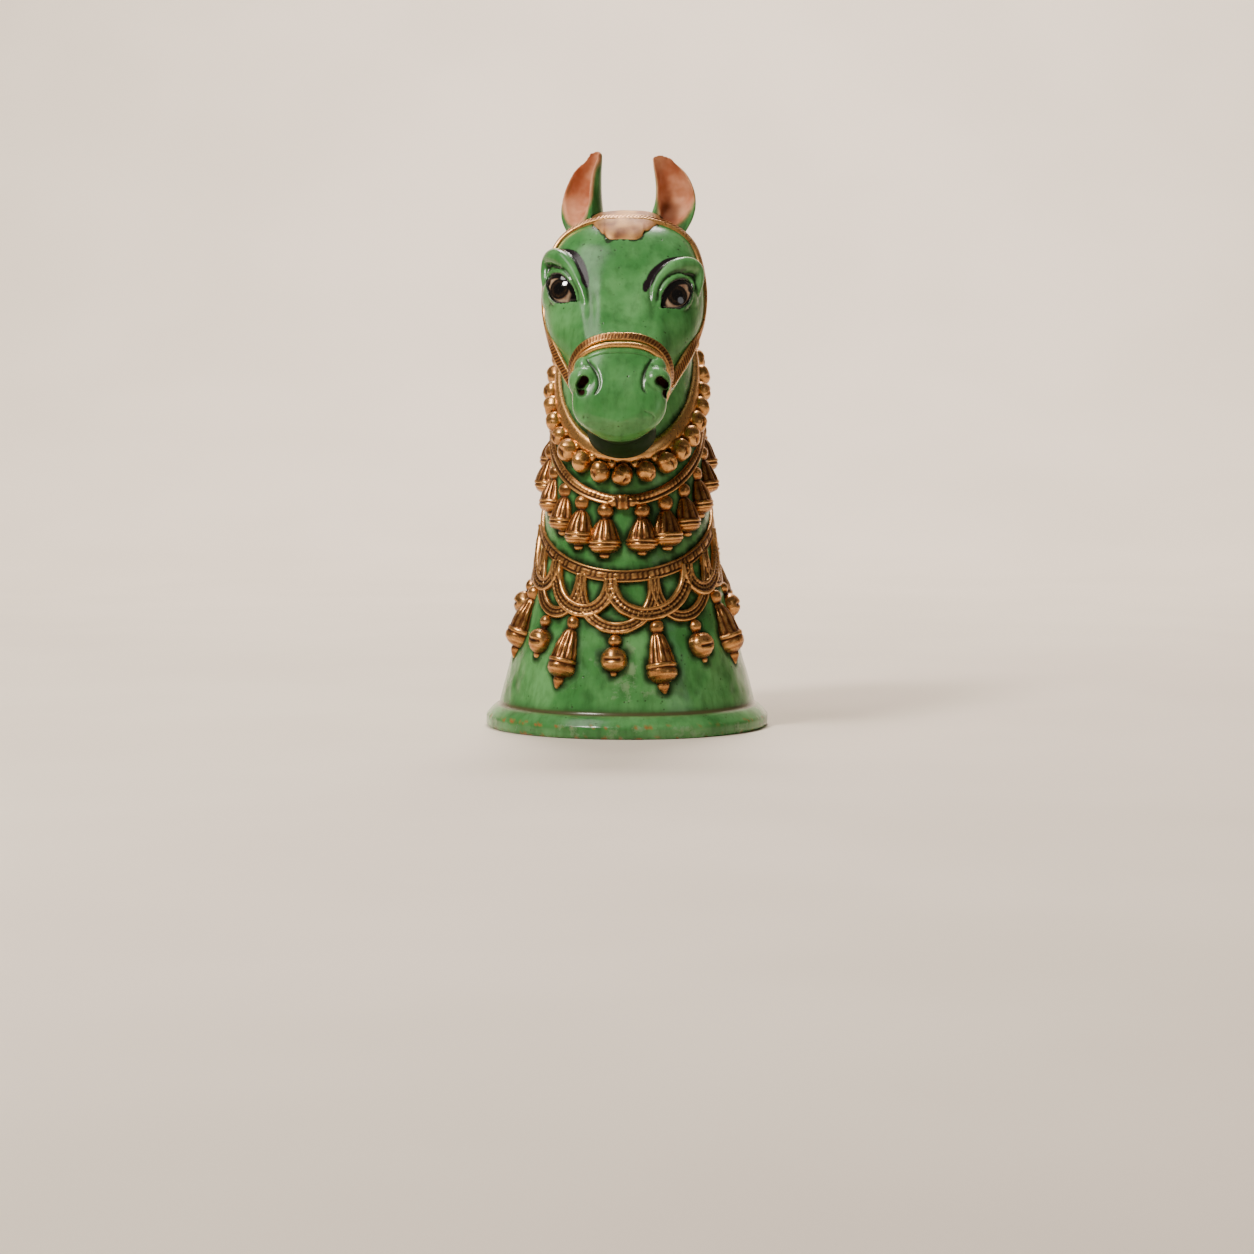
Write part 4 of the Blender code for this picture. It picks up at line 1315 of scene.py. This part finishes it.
top = np.nonzero((points[:, 2] > 370 * MM) & (points[:, 1] > -70 * MM))[0]
ringed = np.zeros(len(points))
ringed[top] = near_points(edge_points, points[top], 1.2 * MM)
paint_mask(head, "plate_edge", 0.85 * ringed)

# %% [markdown]
# ## Bands round the neck
# Three raised bands cross the chest and climb towards the mane. The collar under the throat
# is plain, the second has a row of small studs, and the lowest has little blocks between two
# edge lines. They tilt because they hang from the neck like real straps.

# %% Band heights
THROAT_BAND = (0.2205, 0.0705)
BEAD_ROW = (0.2050, 0.0705)
CHEST_BAND = (0.1850, 0.0570)
TASSEL_ROW = (0.1755, 0.0525)
GIRTH_BAND = (0.1255, 0.0420)


def row_height(row, angle):
    """Height of a row at an angle: its height in front, then higher towards the back."""
    return row[0] + row[1] * (1 - np.cos(np.radians(angle)))


def band(name, row, width, carving, steps):
    angle = np.linspace(-180, 180, 400, endpoint=False)
    points, normals = neck_at(angle, row_height(row, angle))
    return laid_strap(name, points, normals, width, carving, 3 * MM, steps, 20, closed=True)


def plain_collar(u, at):
    return (1.2 + 3.0 * cord_round(u, 0, 1.02)) * MM


def studded(u, at):
    lip = cord_round(u, 0.70, 0.28) * 3.1 * MM
    studs = beaded(at, 3.6 * MM) * cord_round(u, -0.25, 0.55) * 1.7 * MM
    return np.maximum(lip, 1.0 * MM + studs)


def blocked(u, at):
    lip = two_cords(u, 0.84, 0.17) * 3.0 * MM
    from_gap = np.abs(((at / (4.6 * MM)) % 1) - 0.5) * -1 + 0.5
    block = ease(0.12, 0.24, from_gap) * ease(0.0, 0.12, 0.58 - np.abs(u))
    return np.maximum(lip, (1.5 + 0.9 * block) * MM)


finish_piece(band("throat_band", THROAT_BAND, 13 * MM, plain_collar, 400), gold, 4, 0.3 * MM)
finish_piece(band("chest_band", CHEST_BAND, 9 * MM, studded, 1000), gold, 3, 0.5 * MM)
finish_piece(band("girth_band", GIRTH_BAND, 10 * MM, blocked, 900), gold, 3, 0.5 * MM)

# %% Plaque in the middle of the chest band
middle, out = neck_at(0.0, row_height(CHEST_BAND, 0.0))
middle = middle.ravel()
plaque, share, turn = ball_start("chest_plaque", 64, 32)
lobes = 1 + 0.10 * np.cos(4 * turn) + 0.05 * np.cos(10 * turn)
wide = 11.5 * MM * np.sin(share * math.pi) * np.cos(turn) * lobes
deep = np.cos(share * math.pi)
deep = -5.0 * MM * np.sign(deep) * np.abs(deep) ** 0.5
deep += 1.0 * MM * hump(np.abs(wide), 4.5 * MM, 1.2 * MM) * (share < 0.5)
tall = 5.8 * MM * np.sin(share * math.pi) * np.sin(turn) * lobes
shaped(plaque, middle + mm(0, -1.6, -1.0) + np.stack([wide, deep, tall], -1))
finish_piece(plaque, gold, 4, 0.3 * MM)


# %% [markdown]
# ## Turned ornaments
# Bells and tassels were cut like little turnings. Each starts as a ball whose rings are moved
# onto a profile, and flutes are pressed into the stretch that has them. One of each is made,
# then copied round the neck, every copy with its own mesh and a small hand-made difference.

# %% The turning tool
def turning(name, profile, around, along, flutes=0):
    """Rings of (height, radius, flute depth) in millimetres, from top to bottom."""
    obj, share, turn = ball_start(name, around, along)
    rings = resampled(np.array(profile, float), share) * MM
    cutting = 0.5 + 0.5 * np.cos(flutes * turn)
    radius = rings[:, 1] - 0.85 * rings[:, 2] * cutting**2
    return shaped(obj, np.stack([radius * np.cos(turn), radius * np.sin(turn), rings[:, 0]], -1))


def hung(angle, height, swing=0.0, sink=0.0, size=1.0, spin=0.0):
    """Where a hanging ornament goes: down the neck's slope, swung outwards if asked."""
    point, outward = neck_at(angle, height)
    below, _ = neck_at(angle, height - 5 * MM)
    point, outward, below = Vector(point), Vector(outward), Vector(below)
    drop = (below - point).normalized()
    outward = (outward - drop * outward.dot(drop)).normalized()
    drop = Matrix.Rotation(math.radians(swing), 3, outward) @ drop
    side = outward.cross(drop)
    turned = Matrix((side, -outward, -drop)).transposed().to_4x4()
    spun = Matrix.Rotation(spin, 4, "Z")
    return Matrix.Translation(point - outward * sink) @ turned @ spun @ Matrix.Scale(size, 4)


TASSEL = (
    (6.5, 0, 0), (6.2, 2.0, 0), (5.0, 4.4, 0), (2.6, 6.1, 0), (0, 6.5, 0), (-2.6, 6.0, 0),
    (-4.6, 4.4, 0), (-5.4, 3.6, 0), (-6.0, 4.4, 0), (-7.2, 5.6, 0.4), (-10, 7.6, 0.9),
    (-14, 9.6, 1.2), (-18, 11.0, 1.3), (-21.5, 11.8, 1.0), (-22.4, 11.9, 0.0), (-22.8, 12.7, 0),
    (-24.4, 12.9, 0), (-24.9, 12.0, 0), (-25.6, 12.0, 0), (-26.0, 12.8, 0), (-27.6, 12.7, 0),
    (-28.2, 11.6, 0), (-29.0, 11.6, 0), (-30.4, 10.6, 0), (-32.0, 7.6, 0), (-32.6, 4.6, 0),
    (-33.2, 4.4, 0), (-34.6, 4.6, 0), (-36.0, 3.4, 0), (-36.5, 0, 0),
)
PENDANT = (
    (6.0, 0, 0), (5.7, 2.0, 0), (4.4, 4.2, 0), (2.2, 5.7, 0), (0, 6.0, 0), (-2.4, 5.5, 0),
    (-4.4, 4.0, 0), (-5.2, 3.4, 0), (-5.8, 4.6, 0), (-7.0, 5.6, 0.3), (-11, 7.2, 0.9),
    (-17, 9.2, 1.2), (-24, 10.8, 1.2), (-29, 11.6, 0.8), (-29.8, 11.6, 0), (-30.4, 12.6, 0),
    (-32.6, 12.8, 0), (-33.2, 11.8, 0), (-33.8, 12.0, 0), (-36.0, 12.7, 0), (-39.5, 12.2, 0),
    (-43.0, 9.6, 0), (-45.0, 6.0, 0), (-45.6, 4.6, 0), (-46.4, 5.0, 0), (-48.6, 4.8, 0),
    (-51.5, 3.2, 0), (-54.0, 1.4, 0), (-55.0, 0, 0),
)
BELL = (
    (5.6, 0, 0), (5.2, 2.2, 0), (3.6, 4.3, 0), (1.0, 5.5, 0), (-1.6, 5.3, 0), (-3.6, 4.0, 0),
    (-4.8, 2.9, 0), (-5.6, 3.2, 0), (-6.4, 5.6, 0), (-8.4, 8.4, 0), (-11.0, 10.2, 0),
    (-14.2, 11.0, 0), (-17.4, 10.9, 0), (-20.6, 9.6, 0), (-23.4, 7.2, 0), (-25.2, 4.2, 0),
    (-25.8, 2.8, 0), (-27.4, 2.9, 0), (-29.0, 2.0, 0), (-29.8, 0, 0),
)
tassel_form = turning("tassel", TASSEL, 84, 56, 11)
pendant_form = turning("long_tassel", PENDANT, 84, 60, 12)
bell_form = turning("hanging_bell", BELL, 48, 44)


def slit(obj, low, high, half, depth):
    """Presses a narrow mouth into the front of a bell."""
    points = points_of(obj)
    normals = normals_of(obj)
    aside = np.abs(points[:, 0])
    inside = ease(half * 1.6, half * 0.5, np.abs(points[:, 2] - (low + high) / 2 - 0.09 * aside))
    inside = inside * ease(high - low, (high - low) * 0.8, aside) * (points[:, 1] < 0)
    set_points(obj, points - normals * (inside * depth)[:, None])


slit(bell_form, -21 * MM, -13 * MM, 1.2 * MM, 1.6 * MM)
for form in (tassel_form, pendant_form, bell_form):
    print(form.name, "points", len(form.data.vertices))

# %% [markdown]
# ## String of round bells
# Under the throat hangs a string of round bells that almost touch. A string's bells lie at
# equal lengths along it, not at equal angles, so the tool walks along the row and stops at
# each spacing. A tiny bead sits between neighbours.

# %% Walk along a row
MANE_HALF_ANGLE = 24.0


def evenly_strung(row, spacing, reach):
    angle = np.arange(0, reach, 0.25)
    points, _ = neck_at(angle, row_height(row, angle))
    run = run_along(points)
    stops = np.interp(np.arange(0, run[-1], spacing), run, angle)
    return np.concatenate([-stops[:0:-1], stops])


bell_ball, share, turn = ball_start("round_bell", 36, 28)
points = points_of(bell_ball) * np.array([8.75, 8.75, 9.2]) * MM
seam = hump(points[:, 2], 0, 0.9 * MM) * 0.35 * MM
dimple_gap = np.sum((points - mm(1.5, -8.6, -2.5)) ** 2, 1)
dimple = np.exp(-(dimple_gap / (2.4 * MM) ** 2)) * 1.5 * MM
gash = hump(points[:, 0] + 1.2 * MM + 0.25 * points[:, 2], 0, 0.8 * MM) * (points[:, 1] < 0)
gash *= between(-7.5 * MM, -5 * MM, -1 * MM, 3 * MM, points[:, 2])
set_points(bell_ball, points - unit(points) * (seam + dimple + 1.5 * MM * gash)[:, None])
tiny, _, _ = ball_start("tiny_bead", 16, 12)
set_points(tiny, points_of(tiny) * 3.4 * MM)
strung = []
stops = evenly_strung(BEAD_ROW, 17.8 * MM, 180 - MANE_HALF_ANGLE)
for k, angle in enumerate(stops):
    size = 1 + rng.uniform(-0.13, 0.09)
    swing = rng.uniform(-28, 28)
    where = hung(angle, row_height(BEAD_ROW, angle), swing, -3.4 * MM, size, rng.uniform(-0.9, 0.9))
    strung.append(placed_copy(bell_ball, f"bell_{k}", where))
for k, angle in enumerate((stops[:-1] + stops[1:]) / 2):
    size = 1 + rng.uniform(-0.1, 0.15)
    where = hung(angle, row_height(BEAD_ROW, angle) + 8.2 * MM, 0, -1.0 * MM, size)
    strung.append(placed_copy(tiny, f"bead_{k}", where))
bell_string = joined("string_of_bells", strung)
hand_cut(bell_string, 1.2 * MM, 9 * MM, 11)
finish_piece(bell_string, gold, 5, 0.5 * MM)

# %% [markdown]
# ## Row of tassels
# Fluted tassels hang from the studded band. The two in front stand apart, on either side of
# the plaque, and the rest follow at closer steps. Each has a round bead, a fluted body, two
# rings and a small ball below.

# %% Tassels in their places
TASSEL_PLACES = (13, 30, 46, 63, 81, 99, 118, 137)
hanging = []
for side in (-1, 1):
    for k, place in enumerate(TASSEL_PLACES):
        angle = side * (place + rng.uniform(-0.8, 0.8))
        size = 1 + rng.uniform(-0.05, 0.04)
        swing = rng.uniform(-3, 3)
        where = hung(angle, row_height(TASSEL_ROW, angle), swing, 1.5 * MM, size, rng.uniform(0, 6))
        hanging.append(placed_copy(tassel_form, f"tassel_{side}_{k}", where))
tassel_row = joined("row_of_tassels", hanging)
hand_cut(tassel_row, 0.9 * MM, 9 * MM, 12)
finish_piece(tassel_row, gold, 4, 0.5 * MM)

# %% [markdown]
# ## Looped cords and what hangs from them
# Below the lowest band three-strand cords hang in two layers of loops that cross. A long
# tassel hangs under each upper loop and a round bell under each lower one, and they fan out
# a little with the flare of the skirt.

# %% Loops
HIGH_ENDS = (-163, -124, -85, -46, -7, 42, 82, 122, 162)
LOW_ENDS = (-143, -103, -64, -26, 19, 61, 102, 142)
HIGH_DROP = 31.0 * MM
LOW_DROP = 40.5 * MM


def three_strands(u, at):
    outer = two_cords(u, 0.68, 0.31) * 3.9
    inner = cord_round(u, 0, 0.36) * (2.9 + 1.1 * beaded(at, 3.8 * MM))
    return np.maximum(np.maximum(outer, inner), 1.0) * MM


def thin_strands(u, at):
    return three_strands(u, at) * 0.72


def loop(name, start, end, drop, width, carving):
    turn = np.linspace(0, math.pi, 160)
    angle = (start + end) / 2 - (end - start) / 2 * np.cos(turn)
    height = row_height(GIRTH_BAND, angle) - drop * np.sin(turn) ** 0.8
    height = np.convolve(np.pad(height, 6, mode="edge"), np.ones(13) / 13, "valid")
    points, normals = neck_at(angle, height)
    return laid_strap(name, points, normals, width, carving, 3 * MM, 170, 22)


CORDS = (
    ("low", LOW_ENDS, LOW_DROP, 10.0 * MM, thin_strands),
    ("high", HIGH_ENDS, HIGH_DROP, 11.8 * MM, three_strands),
)
loops = []
for layer, ends, drop, width, strands in CORDS:
    for k, (start, end) in enumerate(zip(ends, ends[1:])):
        loops.append(loop(f"{layer}_loop_{k}", start, end, drop, width, strands))
loop_cords = joined("looped_cords", loops)
hand_cut(loop_cords, 0.7 * MM, 9 * MM, 14)
finish_piece(loop_cords, gold, 3, 0.5 * MM)

# %% Long tassels and bells
HANGING_SPREAD = 1.04
HANGING_SWING = 8.0
HANGERS = (
    (LOW_ENDS, LOW_DROP, 9.5 * MM, bell_form),
    (HIGH_ENDS, HIGH_DROP, 11.8 * MM, pendant_form),
)
drops = []
for ends, drop, width, form in HANGERS:
    for k, (start, end) in enumerate(zip(ends, ends[1:])):
        middle = (start + end) / 2
        height = row_height(GIRTH_BAND, middle) - drop - width / 2 - 4.8 * MM
        swing = HANGING_SWING * min(max(middle / 25, -1), 1) + rng.uniform(-2.5, 2.5)
        size = 1 + rng.uniform(-0.04, 0.04)
        spin = rng.uniform(-0.15, 0.15)
        where = hung(middle * HANGING_SPREAD, height, swing, 0.5 * MM, size, spin)
        drops.append(placed_copy(form, f"drop_{k}", where))
hanging_drops = joined("long_tassels_and_bells", drops)
hand_cut(hanging_drops, 0.9 * MM, 9 * MM, 13)
finish_piece(hanging_drops, gold, 4, 0.5 * MM)
for form in (tassel_form, pendant_form, bell_form, bell_ball, tiny):
    bpy.data.objects.remove(form)

# %% [markdown]
# ## The mane
# The back can't be seen in the photograph, so it is kept plain: a roached mane, a crest from
# the poll down the back of the neck with slanting cuts for its locks.

# %% Mane
height = np.linspace(0.384, 0.068, 300)
points, normals = neck_at(np.full(300, 180.0), height)


def locks(u, at):
    fall = np.sin(math.pi * (at / (13 * MM) + 0.8 * np.abs(u)))
    fade = 0.12 + 0.88 * ease(0, 0.035, at) * (1 - ease(0.265, 0.318, at))
    crest = 6.6 * cord_round(u, 0, 1.05) ** 1.4
    return (crest + 2.2 * np.abs(fall) ** 0.7 * (1 - 0.5 * np.abs(u))) * MM * fade


mane = laid_strap("mane", points, normals, 25 * MM, locks, 5 * MM, 460, 40)
finish_piece(mane, green, 8, 0.6 * MM)

# %% [markdown]
# ## Painted shade under the ornaments
# Paint in the corners round each ornament is darkened with painted shade. The neck's points that lie
# close to an ornament get a mask for it, measured with a search tree over the gold pieces.

# %% Painted shade round the gold
ROUND_THE_NECK = (
    "string_of_bells", "row_of_tassels", "looped_cords", "long_tassels_and_bells",
    "throat_band", "chest_band", "girth_band",
)
gold_points = np.concatenate([points_of(pieces[name])[::3] for name in ROUND_THE_NECK])
points = points_of(neck)
uneven = gaps_to(gold_points, points) + 2.5 * MM * rough(points, 8 * MM, 21)
paint_mask(neck, "shaded", 0.92 * (1 - ease(0.3 * MM, 6.2 * MM, uneven)))
finish_piece(neck, green, 10, 0.8 * MM)
print("gold points searched", len(gold_points))

# %% [markdown]
# ## Floor, light and camera
# The pale floor sweeps up behind into a plain backdrop, with no line between them. A large
# soft light stands high in front on the left, one hangs overhead, a weak one fills the right,
# and one lights the backdrop. The camera stands a little below the eyes, as in the photo.

# %% Floor and backdrop
deselect()
bpy.ops.mesh.primitive_grid_add(x_subdivisions=2, y_subdivisions=80, size=1.0)
floor = bpy.context.object
floor.name = "floor"
points = points_of(floor)
FLOOR_WIDTH = 14.0
SWEEP_RADIUS = 1.6
SWEEP_START = 1.6
sweep = [(-5.0, 0.0), (SWEEP_START, 0.0)]
sweep += [
    (SWEEP_START + SWEEP_RADIUS * math.sin(a), SWEEP_RADIUS * (1 - math.cos(a)))
    for a in np.linspace(0, math.pi / 2, 60)[1:]
]
sweep.append((SWEEP_START + SWEEP_RADIUS, 5.0))
line = resampled(sweep, points[:, 1] + 0.5)
set_points(floor, np.stack([points[:, 0] * FLOOR_WIDTH, line[:, 0], line[:, 1]], -1))
pick(floor)
bpy.ops.object.shade_smooth()
pale, tree, shader = new_material("pale_floor")
place = node(tree, "ShaderNodeTexCoord").outputs["Object"]
cloudy = ramp(tree, grain(tree, place, 3.0, 2.0), 0.3, 0.7)
tone = mix(tree, cloudy, srgb(228, 213, 197), srgb(234, 219, 203))
tree.links.new(tone, shader.inputs["Base Color"])
shader.inputs["Roughness"].default_value = 0.8
floor.data.materials.append(pale)


# %% Lights
def soft_light(name, place, aim, size, watts, color):
    data = bpy.data.lights.new(name, "AREA")
    data.shape = "DISK"
    data.size = size
    data.energy = watts
    data.color = color
    lamp = bpy.data.objects.new(name, data)
    bpy.context.scene.collection.objects.link(lamp)
    lamp.location = place
    lamp.rotation_euler = (Vector(aim) - Vector(place)).to_track_quat("-Z", "Y").to_euler()


soft_light("key", (-1.15, -1.4, 2.1), (0, 0, 0.25), 0.55, 72, (1.0, 0.95, 0.87))
soft_light("overhead", (-0.8, -0.35, 2.1), (0, 0, 0.3), 0.8, 9, (1.0, 0.96, 0.91))
soft_light("fill", (1.9, -1.6, 0.9), (0, 0, 0.2), 0.9, 2.5, (0.94, 0.97, 1.0))
soft_light("backdrop_light", (0.0, 2.2, 3.6), (0, 3.2, 0.6), 1.6, 230, (1.0, 0.95, 0.89))
world = bpy.data.worlds.new("studio")
world.use_nodes = True
world.node_tree.nodes["Background"].inputs[0].default_value = srgb(214, 206, 196)
world.node_tree.nodes["Background"].inputs[1].default_value = 0.12
bpy.context.scene.world = world

# %% Camera
CAMERA_AZIMUTH = math.radians(2.5)
CAMERA_DISTANCE = 2.905
CAMERA_HEIGHT = 0.327
AIM_HEIGHT = 0.079
CAMERA_LENS = 103.3
camera_data = bpy.data.cameras.new("camera")
camera_data.lens = CAMERA_LENS
camera = bpy.data.objects.new("camera", camera_data)
bpy.context.scene.collection.objects.link(camera)
camera.location = (
    math.sin(CAMERA_AZIMUTH) * CAMERA_DISTANCE,
    -math.cos(CAMERA_AZIMUTH) * CAMERA_DISTANCE,
    CAMERA_HEIGHT,
)
gaze = Vector((0, 0, AIM_HEIGHT)) - camera.location
camera.rotation_euler = gaze.to_track_quat("-Z", "Y").to_euler()
bpy.context.scene.camera = camera
print("camera at", [round(n, 3) for n in camera.location])
